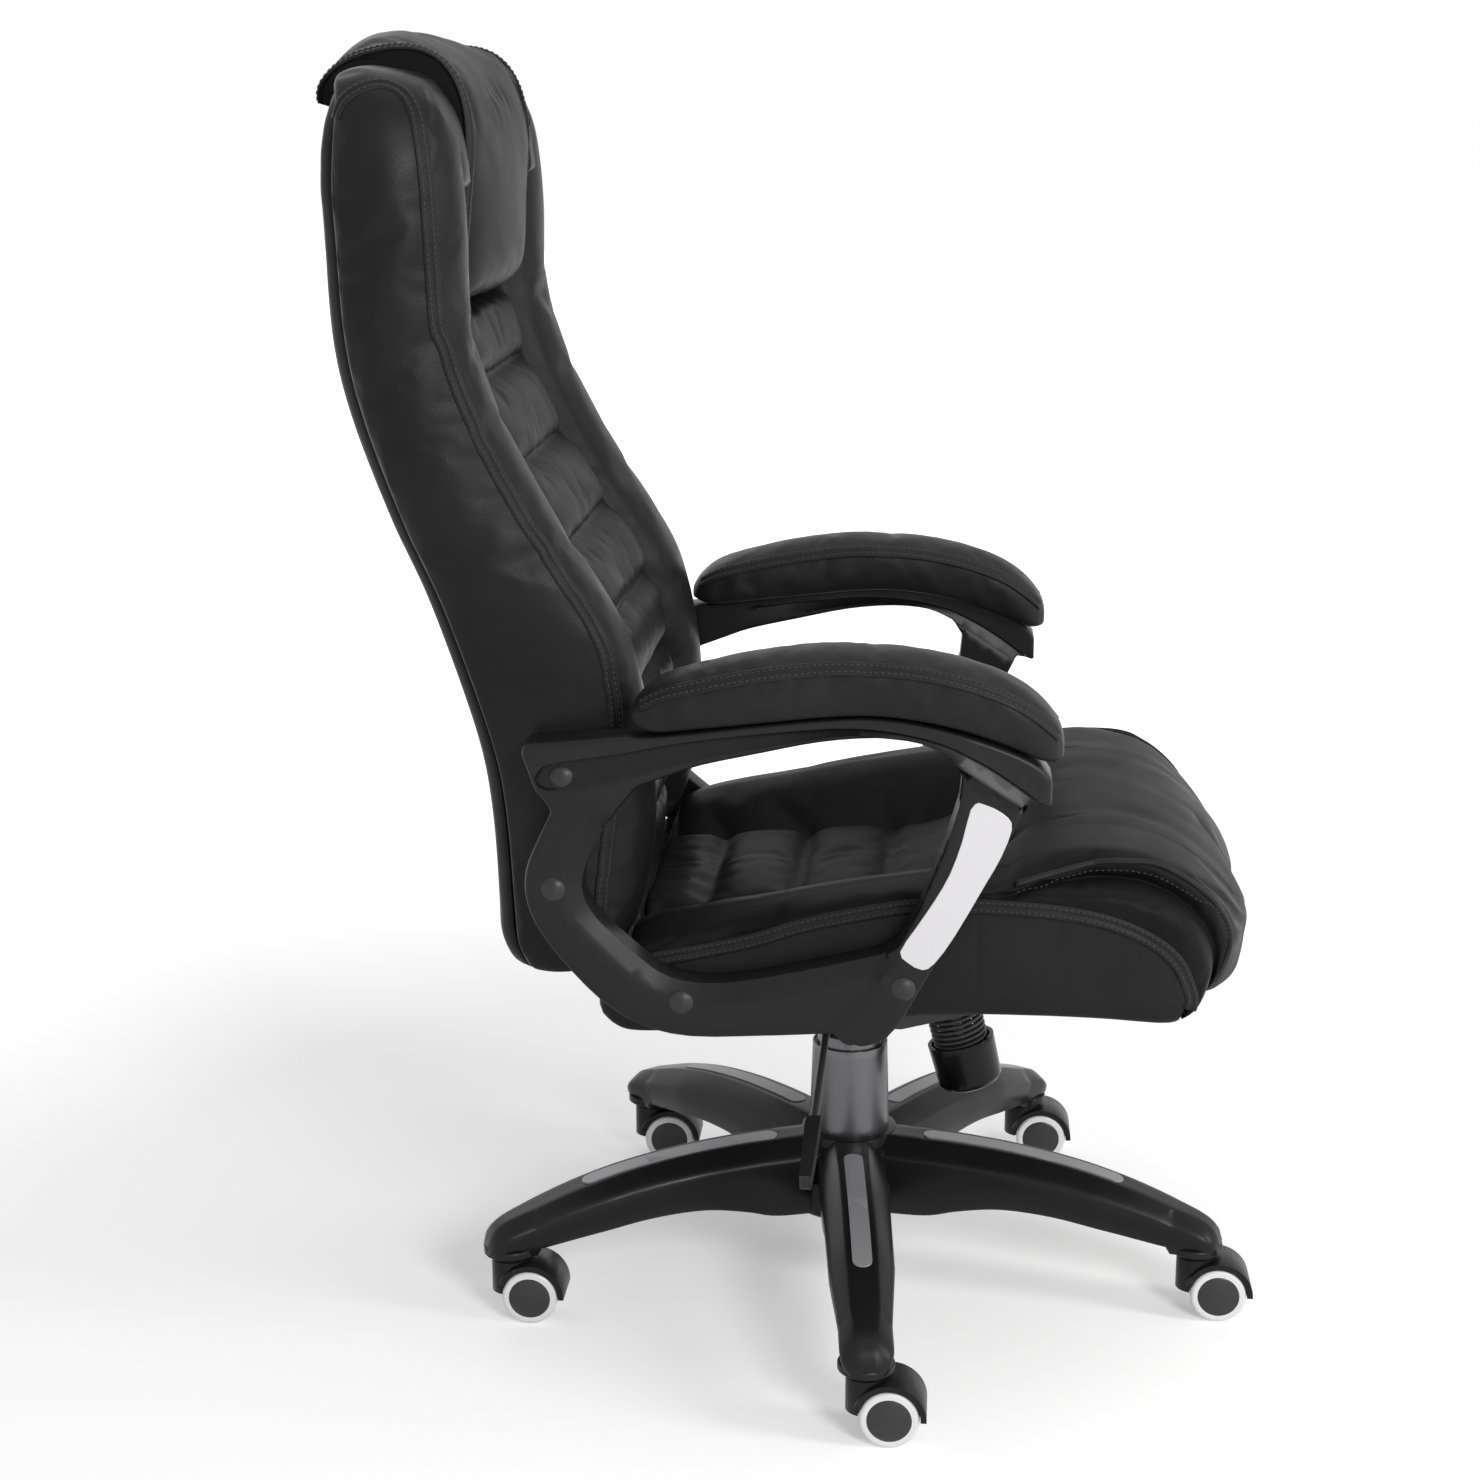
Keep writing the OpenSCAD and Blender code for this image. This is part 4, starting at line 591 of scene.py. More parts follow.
def stitchRows(name, spots, outs, rows=seam["rows"], lift=seam["lift"]):
    run = runOf(spots)
    along, across = alongAndAcross(spots, outs)
    at = np.arange(3, run[-1] - 3, seam["pitch"])
    pick = lambda table: np.stack([np.interp(at, run, table[:, i]) for i in range(3)], 1)
    mids, ways, flanks, ups = pick(spots), pick(along), pick(across), pick(outs)
    r, half, count = seam["thick"], seam["length"] / 2, seam["sides"]
    # along the stitch: place, size and how far it dips into the leather
    profile = [(-half, 0.25, -0.7), (-half * 0.6, 0.95, 0.0), (half * 0.6, 0.95, 0.0), (half, 0.25, -0.7)]
    stitch = skinFaces(len(profile), count)
    points, faces = [], []
    for row in rows:
        for k in range(len(at)):
            faces += [tuple(len(points) + i for i in f) for f in stitch]
            middle = mids[k] + flanks[k] * row + ups[k] * lift
            for t, size, drop in profile:
                for a in range(count):
                    angle = a * 2 * math.pi / count
                    points.append(middle + ways[k] * t + flanks[k] * (r * 1.2 * size * math.cos(angle))
                                  + ups[k] * (r * size * math.sin(angle) + drop * r))
    makePiece(name, points, faces, thread, "upper")


def feltSeam(name, tree, line, outs=None):
    # lies on the piece below it, or on the line itself where its outward directions are given
    spots = line
    if outs is None:
        spots, outs = lieOn(tree, evenLine(line, seam["spacing"]))
    runShape(name + "_band", spots, outs, bandShape)
    stitchRows(name + "_stitches", spots, outs)


# the back's profile lines, each (x, z)

rearX = lookUp([(-275, 362), (-289, 391), (-292, 423), (-297, 502), (-308, 565), (-344, 673), (-375, 744),
                (-404, 825), (-418, 889), (-423, 972), (-425, 1014), (-422, 1058), (-416, 1092)])
cornerX = lookUp([(-206, 362), (-201, 400), (-197, 430), (-192.5, 474), (-186, 527), (-182.5, 578), (-186, 620),
                  (-194, 652), (-216, 691), (-240, 728), (-268, 775), (-294, 827), (-313, 880), (-320, 921),
                  (-324, 983), (-330, 1043), (-343, 1076), (-366, 1094), (-388, 1100)])
crestX = lookUp([(-186, 362), (-182, 387), (-174, 410), (-167, 432), (-161, 460), (-158, 495), (-159, 535),
                 (-163, 575), (-171, 615), (-183, 652), (-205, 691), (-229, 728), (-257, 775), (-283, 827),
                 (-301, 880), (-307, 918), (-307, 966), (-308, 1002), (-311, 1032), (-315, 1055), (-322, 1072),
                 (-331, 1084), (-343, 1096), (-360, 1101.5)])

backFrame = {
    "outline": [(-242, 366), (-249, 400), (-250, 470), (-250, 600), (-250, 750), (-250, 900), (-249, 980),
                (-245, 1040), (-238, 1070), (-227, 1088), (-210, 1098), (-185, 1101), (-100, 1101.5), (0, 1101.5)],
    # inward from the outline, share of the depth from the rear, forward of the corner line
    "section": [(10, 0, 0), (4, 0.03, 0), (1, 0.12, 0), (-1, 0.3, 0), (-0.6, 0.48, 0), (1.4, 0.66, 0), (4.2, 0.82, 0),
                (7, 0.95, 0), (9, 1, 1), (15, 1, 5), (24, 1, 8.5), (36, 1, 10.5), (50, 1, 11), (66, 1, 9.5),
                (80, 1, 6), (90, 1, 0), (97, 1, -9), (101, 1, -20), (102, 1, -34)],
    "hidden": [(70, 0.3, 0), (30, 0.05, 0)],
    # the seam is a row of the section; gap is the rear cover's room; wrap is the reach back over the shoulders
    "spacing": 6.5, "low": 362, "high": 1101, "seam": 8, "gap": 20.6, "wrap": 12, "gussetWide": 12, "crestWide": 11,
    # each gather's height and depth, how wide it is, and how far forward it runs
    "gathers": [(999, 5.0), (956, 4.4), (934, 3.6), (905, 2.4)], "gatherWide": 5.0, "gatherRun": 26,
    # the gusset's crown, where it starts, and over what height it grows
    "crown": 6, "crownFrom": 615, "crownOver": 90,
    # behind the head pillow: half width, from, to, and how far back the frame stays
    "recess": (151, 906, 1088, -360), "recessSide": 5,
    # the lower end's rise: how much, from which x, over what depth, and up to which height
    "rise": (3, -208, 24, 410, 44),
}


def makeBackFrame():
    v = backFrame
    half = smoothLine(v["outline"], 6)
    outline = np.vstack([half, half[-2::-1] * (-1, 1)])
    path = evenLine(outline, v["spacing"])
    way = unit(np.gradient(path, axis=0))
    inward = np.stack([way[:, 1], -way[:, 0]], 1)
    shape = smoothLine(v["section"], 3)
    seamRow = v["seam"] * 3
    shape = np.vstack([shape, v["hidden"]])
    rows, cols = len(path), len(shape)
    points = np.zeros((rows, cols, 3))
    wide, low, high, behind = v["recess"]
    rise, riseFrom, riseDeep, riseTop, riseHigh = v["rise"]
    for j in range(rows):
        spot = path[j] + inward[j] * shape[:, :1]
        z = np.clip(spot[:, 1], v["low"], v["high"])
        e, c, crest = rearX(z) + v["gap"], cornerX(z), crestX(z)
        top = abs(inward[j, 1])
        c = np.maximum(c * (1 - top) + crest * top, e + 4)
        full = ramp(shape[:, 2], 0, v["crestWide"])
        # the gusset is crowned above the arms
        onGusset = shape[:, 0] < v["gussetWide"]
        crown = v["crown"] * ramp(z, v["crownFrom"], v["crownOver"]) * abs(inward[j, 0])
        crown = crown * 4 * shape[:, 1] * (1 - shape[:, 1]) * onGusset
        spot[:, 0] -= inward[j, 0] * crown
        x = e + shape[:, 1] * (c - e) + np.minimum(shape[:, 2], 0)
        x = x * (1 - full) + crest * full
        # over the shoulders the leather reaches back above the rear cover
        x = x - v["wrap"] * top ** 2 * (1 - shape[:, 1]) ** 2 * onGusset
        # short gathers where the gusset meets the rear edge
        for place, size in v["gathers"]:
            near = np.exp(-((z - place - (x - e) * 0.2) / v["gatherWide"]) ** 2)
            near = near * np.clip(1 - (x - e) / v["gatherRun"], 0, 1)
            side = (shape[:, 1] < 0.9) & (shape[:, 0] < 6) & (abs(inward[j, 0]) > 0.5)
            spot[:, 0] += inward[j, 0] * near * side * size
        # behind the head pillow the frame stays back
        recess = ramp(abs(spot[:, 0]), wide, -v["recessSide"]) * ((spot[:, 1] > low) & (spot[:, 1] < high))
        x = x * (1 - recess) + np.minimum(x, behind) * recess
        points[j, :, 0] = x
        points[j, :, 1] = spot[:, 0]
        # the lower end rises toward the front, over the seat's rear edge
        points[j, :, 2] = spot[:, 1] + rise * ramp(x, riseFrom, riseDeep) * ramp(spot[:, 1], riseTop, -riseHigh)
    piece = skinRings("back_bolster", points, leather)
    held = np.zeros((rows, cols))
    held[:, :3] = 1
    held[:, seamRow] = 1
    held[:, -7:] = 1
    held[:2] = held[-2:] = 1
    puff(piece, held.ravel(), limit=2.5, spare=0.008, pressure=3)
    finishSoft(piece, "back_cushion")
    return piece


backPanel = {
    "half": 150, "low": 372, "high": 1004, "spacing": 6, "deep": 22, "crown": 15, "fullness": (5, 0.55),
    "seams": [372, 440, 508, 575, 639, 705, 771, 843, 905, 1004],
    # how far the panel lies behind the bolsters' crest, by height
    "behindHeights": [372, 400, 440, 700, 900], "behind": [-4, 2, 9, 11, 13],
    # points across, the channels' depth at their seams, and the flat end that tucks in under the head pillow
    "across": 53, "least": 2, "tuckFrom": 900, "tuckOver": 14, "tuck": 30, "rearTuck": 22, "heldAbove": 930,
}


def makeBackPanel():
    v = backPanel
    zs = np.arange(v["low"], v["high"] + 1, v["spacing"])
    zs = np.unique(np.r_[zs, v["seams"]])
    ys = np.linspace(-v["half"], v["half"], v["across"])
    seams = np.array(v["seams"], float)
    rings, held = [], []
    for z in zs:
        k = np.clip(np.searchsorted(seams, z, side="right") - 1, 0, len(seams) - 2)
        t = (z - seams[k]) / (seams[k + 1] - seams[k])
        bulge = (1 - abs(2 * t - 1) ** v["fullness"][0]) ** v["fullness"][1]
        under = ramp(z, v["tuckFrom"], v["tuckOver"])
        c = crestX(z) - np.interp(z, v["behindHeights"], v["behind"])
        side = np.clip(1 - (np.abs(ys) / v["half"]) ** 7, 0, 1) ** 0.5
        lift = v["least"] + (v["crown"] - v["least"]) * bulge
        x = c - v["deep"] + lift * side - under * v["tuck"]
        rear = c - 2 * v["deep"] - under * v["rearTuck"]
        ring = [(x[i], ys[i], z) for i in range(len(ys))] + [(rear, v["half"] - 6, z), (rear, -v["half"] + 6, z)]
        rings.append(ring)
        pin = np.zeros(len(ys) + 2)
        pin[[0, 1, -4, -3, -2, -1]] = 1
        if min(abs(seams - z)) < 0.5 or z > v["heldAbove"]:
            pin[:] = 1
        held.append(pin)
    held[0][:] = held[-1][:] = 1
    piece = skinRings("back_panel", rings, panelLeather)
    puff(piece, np.array(held).ravel(), limit=5, spare=0.015, pressure=5)
    finishSoft(piece, "back_cushion")


rearCover = {"low": 363, "high": 1091, "halfLow": 236, "halfHigh": 222, "thick": 20, "spacing": 8, "across": 57,
             "roundTop": 60, "roundLow": 20, "least": 1.5, "endFade": 7}


def makeRearCover():
    v = rearCover
    zs = np.unique(np.r_[np.arange(v["low"], v["high"], v["spacing"]), v["high"], v["high"] - 3, v["low"] + 3])
    rings, held = [], []
    for z in zs:
        share = (z - v["low"]) / (v["high"] - v["low"])
        half = v["halfLow"] + (v["halfHigh"] - v["halfLow"]) * share
        up, down = v["high"] - z, z - v["low"]
        for away, r in ((up, v["roundTop"]), (down, v["roundLow"])):
            if away < r:
                half -= r - math.sqrt(max(0, r ** 2 - (r - away) ** 2))
        ys = np.linspace(-half, half, v["across"])
        flat = np.clip(1 - (np.abs(ys) / half) ** 22, 0, 1) ** 0.5
        ends = min(1, (min(up, down) / v["endFade"] + 0.15)) ** 0.5
        front = rearX(z) + v["thick"]
        x = front - (v["thick"] - v["least"]) * flat * ends
        rings.append([(x[i], ys[i], z) for i in range(len(ys))] + [(front, half - 1, z), (front, -half + 1, z)])
        pin = np.zeros(len(ys) + 2)
        pin[[0, 1, -4, -3, -2, -1]] = 1
        held.append(pin)
    held[0][:] = held[-1][:] = held[1][:] = held[-2][:] = 1
    piece = skinRings("rear_cover", rings, leather)
    puff(piece, np.array(held).ravel(), limit=2.5, spare=0.0, pressure=2, frames=12)
    finishSoft(piece, "back_rear_cover")


headRest = {
    "front": [(-322, 909), (-309, 925), (-303, 945), (-303, 985), (-306, 1030), (-309, 1060), (-315, 1084),
              (-328, 1104), (-350, 1121), (-378, 1130), (-402, 1129), (-421, 1120), (-433, 1106), (-438.5, 1091),
              (-439, 1080), (-435, 1071)],
    "edge": [(-326, 914), (-321, 930), (-319, 950), (-315, 986), (-311, 1030), (-311, 1058), (-316, 1083),
             (-328, 1104), (-345, 1115), (-366, 1118), (-388, 1115), (-405, 1110), (-419, 1102), (-430, 1091),
             (-434, 1081), (-432, 1072)],
    "back": [(-345, 913), (-351, 930), (-353, 950), (-353, 985), (-354, 1030), (-355, 1058), (-358, 1080),
             (-364, 1094), (-374, 1101), (-388, 1103.5), (-404, 1103.5), (-414, 1101), (-421, 1095), (-425, 1088),
             (-427, 1080), (-429, 1073)],
    # across the pillow: half width of its front, then place and thickness share where the side closes in
    "half": 146, "stations": 22, "sideTurn": 2.2,
    "closing": [(148.2, 0.9), (149.2, 0.74), (149.6, 0.55), (149.8, 0.35), (149.8, 0.15), (149.8, 0.03)],
}


def makeHeadRest():
    v = headRest
    front, back, edge = smoothLine(v["front"], 5), smoothLine(v["back"], 5), smoothLine(v["edge"], 5)
    half = [(y, 1.0) for y in np.linspace(0, v["half"], v["stations"])] + v["closing"]
    order = [(-y, k) for y, k in half[::-1]] + half[1:]
    rings, held = [], []
    for y, k in order:
        s = min(1, abs(y) / v["half"]) ** v["sideTurn"]
        line = front + (edge - front) * s
        middle = (line + back) / 2
        f, b = middle + (line - middle) * k, middle + (back - middle) * k
        rings.append([(p[0], y, p[1]) for p in f] + [(p[0], y, p[1]) for p in b[::-1]])
        pin = np.zeros(len(f) + len(b))
        pin[len(f):] = 1
        if v["half"] - 3 < abs(y) < v["half"] + 3:
            pin[:] = 1
        held.append(pin)
    piece = skinRings("head_pillow", rings, panelLeather)
    puff(piece, np.array(held).ravel(), limit=3.5, spare=0.012, pressure=4)
    finishSoft(piece, "headrest")
    tree = surfaceOf(piece)
    for word, side in sides:
        feltSeam("head_seam_" + word, tree, [(p[0], side * (v["half"] - 1), p[1]) for p in edge[1:-1]])


# the seat

skirtZ = lineAt([(-206, 341), (-192, 327), (-166, 319), (-60, 327), (67, 339), (132, 342), (214, 341), (262, 338),
                 (280, 338), (290, 341)])
seamZ = lineAt([(-206, 366), (-157, 384), (-116, 393), (-74, 403), (-33, 417), (8, 427), (49, 435), (90, 438),
                (122, 438), (160, 436), (200, 431), (227, 424), (249, 415), (268, 401), (280, 386), (287, 368),
                (290, 350)])
panelZ = lineAt([(-206, 370), (-182, 374), (-132, 379), (-55, 385), (22, 391), (70, 396), (105, 412), (132, 438),
                 (150, 458), (170, 470)])
planTable = np.array([(-206, 242), (-190, 249), (-120, 250), (240, 250), (262, 248.5), (280, 245), (296, 238),
                      (310, 228), (322, 214), (332, 196), (340, 172), (346, 140), (350, 100), (353, 60)], float)


def planHalf(x):
    return np.interp(x, planTable[:, 0], planTable[:, 1])


def bowlFloor(x):
    return min(float(seamZ(x)), float(panelZ(x)) - 14)


seatBase = {
    "rear": -206, "front": 287, "spacing": 8, "bolster": 52, "panel": 115, "rearTop": 363.6, "rearRise": 0.3,
    # the front's lower edge leans in: how much, from which x, below which height, and over what height
    "lean": 7, "leanFrom": 262, "leanTop": 362, "leanHigh": 22,
    # the pocket over the board and its side rails
    "boardRear": -192.5, "boardFront": 262.5, "boardHalf": 228.4, "railIn": 207.4, "railTop": 395.4,
    "railFront": 112.5, "ceiling": 352.5,
    # behind this x the rails' tops fall by so much over so long a run
    "railBend": -60, "railFall": 30, "railRun": 130,
    "extraStations": [-191.5, -192.8, 262, 263.2, 112.2, 113, 270, 276, 281, 284.5],
}


def makeSeatBase():
    v = seatBase
    xs = np.unique(np.r_[np.arange(v["rear"], v["front"], v["spacing"]), v["front"], v["extraStations"]])
    rings, held = [], []
    for x in xs:
        # half width, lower edge, side seam, and the bowl's floor
        w, b = planHalf(x), float(skirtZ(x))
        s = min(float(seamZ(x)) - 0.5, v["rearTop"] + v["rearRise"] * (x - v["rear"]))
        floor = min(bowlFloor(x) - 0.5, s)
        h = s - b
        inside = v["boardRear"] < x < v["boardFront"]
        railTop = min(v["railTop"] + v["railFall"] * min(x - v["railBend"], 0) / v["railRun"], s - 1.2)
        rail = inside and x < v["railFront"]
        ceiling = min(v["ceiling"], s - 4) if inside else b + 1
        outer = [(w - 5, b), (w - 1.5, b + 3), (w - 0.4, b + 0.2 * h), (w, b + 0.4 * h), (w, b + 0.6 * h),
                 (w - 0.5, b + 0.8 * h), (w - 1.2, b + 0.93 * h), (w - 2.2, s - 1), (w - 5, s),
                 (w - v["bolster"], s), (v["panel"] + 20, floor)]
        railIn, railOut = min(v["railIn"], w - 12), min(v["boardHalf"], w - 9)
        roof = railTop if rail else ceiling + 0.3
        pocket = [(0.4 * w, s), (0.4 * w, ceiling + (0 if inside else 1)), (railIn, ceiling), (railIn, roof),
                  (railOut, roof), (railOut, b + (0 if inside else 0.5))]
        # one side up, over the top, the other side down, and the pocket back
        ring = [(x, -y, z) for y, z in outer] + [(x, y, z) for y, z in outer[::-1]]
        ring += [(x, y, z) for y, z in pocket[::-1][:5]] + [(x, -y, z) for y, z in pocket[1:]]
        lean = v["lean"] * ramp(x, v["leanFrom"], v["front"] - v["leanFrom"])
        ring = [(px - lean * ramp(pz, v["leanTop"], -v["leanHigh"]) ** 2, py, pz) for px, py, pz in ring]
        rings.append(ring)
        pin = np.ones(len(ring))
        pin[2:7] = pin[15:20] = 0
        held.append(pin)
    held[0][:] = held[1][:] = held[-1][:] = held[-2][:] = 1
    piece = skinRings("seat_side_panel", rings, leather)
    puff(piece, np.array(held).ravel(), limit=3.5, spare=0.004, pressure=3, frames=14)
    finishSoft(piece, "seat_base_cushion")


seatTop = {
    # side seam, crease under the pillow, pillow seam and crest, each (x, z), from the rear to under the nose
    "stations": [
        ((-180, 376.5), (-180, 380.5), (-180, 386), (-180, 392)),
        ((-157, 384.5), (-157, 389), (-157, 396), (-157, 404)),
        ((-116, 393.5), (-116, 399), (-116, 406), (-116, 413)),
        ((-74, 403.5), (-74, 408), (-74, 414), (-74, 421)), ((-33, 417.5), (-33, 420), (-33, 424.5), (-33, 430)),
        ((8, 427.5), (8, 430), (8, 433.5), (8, 438)), ((49, 435.5), (49, 437.5), (49, 441), (49, 445)),
        ((90, 438.5), (90, 442), (90, 447), (90, 452)), ((128, 438), (132, 445), (132, 452), (130, 461)),
        ((160, 436.5), (168, 452), (170, 461), (170, 471)), ((192, 433), (208, 455), (205, 469), (212, 476)),
        ((218, 427.5), (240, 453.5), (236, 470), (246, 472)), ((240, 419.5), (262, 447), (258, 467), (274, 463)),
        ((258, 409.5), (280, 436), (279, 456.5), (297, 451)), ((269, 400.5), (294, 421), (297, 442.5), (315, 436)),
        ((279, 388), (303, 405), (310, 427), (329, 420)), ((285.5, 373), (308.5, 391), (319, 409), (341, 402)),
        ((289, 362), (308.5, 379), (321.5, 395), (347.5, 387)), ((288.5, 354), (306, 367), (318, 381), (347.5, 373)),
        ((286, 348), (302.5, 359), (311, 369), (341, 361)), ((282.5, 344), (298.5, 353), (303, 360), (331, 353)),
        ((280, 342), (294, 349), (297, 354), (319, 349)),
    ],
    # a section's side: after which line, how far to the next, then how far in from the plan: the plain
    # measure, and what the nose, the notch and the inset add
    "side": [(0, 0, 52, 0, 0, 0), (0, 0, 6, 0, 0, 0), (0, 0, 1.8, 0, 0, 0), (0, 0.3, 0, 0, 0, 0),
             (0, 0.62, 0, 0, 0.1, 0), (0, 0.88, 2.5, 0, 0.4, 0.3), (1, 0, 4, 0, 1, 0.8), (1, 0.4, 3, 0, 0.3, 0.9),
             (1, 0.75, 3, 0, 0, 1), (2, 0, 6, 0, 0, 1), (2, 0.4, 14, 4, 0, 0.8), (2, 0.72, 26, 4, 0, 0.6),
             (2, 0.93, 40, 0, 0, 0.3), (3, 0, 54, 0, 0, 0.2)],
    # and its top: the bolster's inner slope (out from the panel, share of the fall), the panel's edge, the panel
    "slope": [(46, 0.2), (30, 0.55), (15, 0.87), (6, 0.99), (0, 1.0)], "panelEdge": [(-5, 0.55), (-14, 1.0)],
    "panel": (0.66, 0.4, 0.2, 0), "panelHalf": 115, "panelIn": 74, "panelLeast": 20, "crestIn": 66,
    "spacing": 6, "seams": [-190, -125, -45, 35, 115], "notch": 12, "ledge": 22, "pad": 13,
    # where the dart starts, the panel ends, the base below ends, and the height at which the side seam ends
    "dart": 138, "panelEnd": 124, "baseEnd": 284, "seamEnd": 350,
    # from which x, and over what run, the section changes: panel to pillow, notch, inset side and nose
    "pillowRamp": (112, 40), "notchRamp": (124, 90), "insetRamp": (135, 75), "noseRamp": (250, 90),
    # past this x and below this height the cover is held under the nose
    "noseHeld": (338, 380),
    # the pinches beside each seam: depth, width along the seat, and how far they run up the bolster
    "pinch": 5, "pinchWide": 5.0, "pinchRun": 22,
}


def pillowInset(x):
    # how far the front pillow's side is set in
    return seatTop["ledge"] * ramp(x, *seatTop["insetRamp"]) * (1 - 0.4 * ramp(x, *seatTop["noseRamp"]))


def seatSection(lines):
    # half a section from under the seat, out round the side and in to the middle of the top: (x, y, z)
    v = seatTop
    side, crest = lines[0], lines[3]
    x = crest[0]
    front, nose, inset = ramp(x, *v["pillowRamp"]), ramp(x, *v["noseRamp"]), pillowInset(x)
    deep = v["notch"] * ramp(x, *v["notchRamp"]) ** 0.7
    out = []

    def put(x, z, inward, y=None):
        w = planHalf(x)
        out.append((x, max(w - inward, 4) if y is None else max(min(y, w - inward), 2), z))

    floor = bowlFloor(side[0]) if side[0] < v["baseEnd"] else side[1]
    for y in (0, v["panelHalf"] + 20):
        put(side[0], floor, 60, y)
    for i, share, plain, byNose, byNotch, byInset in v["side"]:
        here, there = lines[i], lines[min(i + 1, 3)]
        put(here[0] + (there[0] - here[0]) * share, here[1] + (there[1] - here[1]) * share,
            plain + byNose * nose + byNotch * deep + byInset * inset)
    low = min(float(panelZ(x)), crest[1] - 1) - crest[1]
    low = low * (1 - front) + 1.5 * front
    h = min(v["panelHalf"], max(planHalf(x) - v["panelIn"], v["panelLeast"]))
    for wide, share in v["slope"]:
        put(x, crest[1] + low * share, v["crestIn"], h + wide * (1 - 0.3 * front))
    for wide, share in v["panelEdge"]:
        put(x, crest[1] + (low + v["pad"] * share * (1 - front)), v["crestIn"], h + wide)
    for share in v["panel"]:
        put(x, crest[1] + (low + (v["pad"] + 1.5 - share) * (1 - front) + 1.0 * front), v["crestIn"], h * share)
    return np.array(out)


def makeSeatTop():
    v = seatTop
    # the four lines, made smooth and evenly spaced by the crest
    lines = [smoothLine([s[i] for s in v["stations"]], 8) for i in range(4)]
    run = runOf(lines[3])
    at = np.linspace(0, run[-1], int(run[-1] / v["spacing"]))
    lines = [np.stack([np.interp(at, run, l[:, 0]), np.interp(at, run, l[:, 1])], 1) for l in lines]
    sideLine, pillowLine, crestLine = lines[0], lines[2], lines[3]
    seams = np.array(v["seams"], float)
    # where these lie in a smoothed section
    crease, pillow, crest, panel = 24, 33, 45, 60
    rings, held = [], []
    for j in range(len(at)):
        half = smoothLine(seatSection([l[j] for l in lines]), 3)
        x = crestLine[j][0]
        if x < v["panelEnd"]:
            k = np.clip(np.searchsorted(seams, x, side="right") - 1, 0, len(seams) - 2)
            t = np.clip((x - seams[k]) / (seams[k + 1] - seams[k]), 0, 1)
            dip = v["pad"] * (1 - (1 - abs(2 * t - 1) ** 4.5) ** 0.6)
            fade = ramp(half[panel - 2:, 1], v["panelHalf"] + 3, -12)
            half[panel - 2:, 2] -= dip * fade
            # short pinches that run up the bolster from each seam
            pinch = v["pinch"] * math.exp(-((x - seams[np.argmin(abs(seams - x))]) / v["pinchWide"]) ** 2)
            climb = np.clip(1 - (half[crest:panel, 1] - v["panelHalf"]) / v["pinchRun"], 0, 1)
            half[crest:panel, 2] -= pinch * climb
        ring = [(p[0], -p[1], p[2]) for p in half] + [(p[0], p[1], p[2]) for p in half[::-1]]
        rings.append(ring[1:-1])
        pin = np.zeros(len(half))
        pin[:14] = 1
        if x > v["dart"] - 8:
            pin[[crease, pillow]] = 1
        if x < v["panelEnd"] - 2:
            pin[[panel - 1, panel]] = 1
            if min(abs(seams - x)) < v["spacing"] * 0.5:
                pin[panel - 3:] = 1
        elif x > v["noseHeld"][0] and crestLine[j][1] < v["noseHeld"][1]:
            pin[:] = 1
        held.append(np.r_[pin, pin[::-1]][1:-1])
    held[0][:] = held[1][:] = held[-1][:] = held[-2][:] = 1
    piece = skinRings("seat_top", rings, panelLeather)
    puff(piece, np.array(held).ravel(), limit=4, spare=0.012, pressure=4)
    finishSoft(piece, "seat_top_cushion")
    tree = surfaceOf(piece)
    outer = lambda l, inward: np.stack([l[:, 0], -(planHalf(l[:, 0]) - inward), l[:, 1]], 1)
    edge = outer(pillowLine, 6 + pillowInset(pillowLine[:, 0]))[pillowLine[:, 0] > v["dart"]][:-3]
    for word, side in sides:
        turn = np.array((1, -side, 1))
        spots, outs = lieOn(tree, evenLine(edge * turn, seam["spacing"]))
        runShape("seat_pillow_" + word + "_piping", spots, outs, cordShape)
        spots, outs = lieOn(tree, evenLine((edge - (0, 1, 6.5)) * turn, seam["spacing"]))
        stitchRows("seat_pillow_stitches_" + word, spots, outs, rows=(0,), lift=0.3)
        # a felled seam over the joint between the seat's two covers
        joint = evenLine(outer(sideLine, -0.1)[1:-4], seam["spacing"]) - (0, 0, 0.5)
        joint = joint[joint[:, 2] > v["seamEnd"]]
        slope = (planHalf(joint[:, 0] + 2) - planHalf(joint[:, 0] - 2)) / 4
        facing = unit(np.stack([-slope, -np.ones(len(joint)), 0.12 + 0 * slope], 1))
        feltSeam("seat_seam_" + word, tree, joint * turn, outs=facing * turn)


frameBack = makeBackFrame()
print("back frame made")
makeBackPanel()
makeRearCover()
makeHeadRest()
print("back made")
makeSeatBase()
makeSeatTop()
print("seat made")


backSeam = {
    "arch": [(-321, 903), (-323, 943), (-325, 988), (-327, 1021), (-330, 1045), (-335, 1066), (-341, 1078),
             (-350, 1085), (-363, 1087.5), (-377, 1084), (-388, 1079), (-397, 1072), (-402, 1064)],
    "from": 374, "to": 896, "step": 12,
    # the short seam over each bolster: height, rise, y at its outer end, run inward, and how far it moves forward
    "height": 909, "rise": 6, "outer": 242, "run": 90, "forward": 10,
}


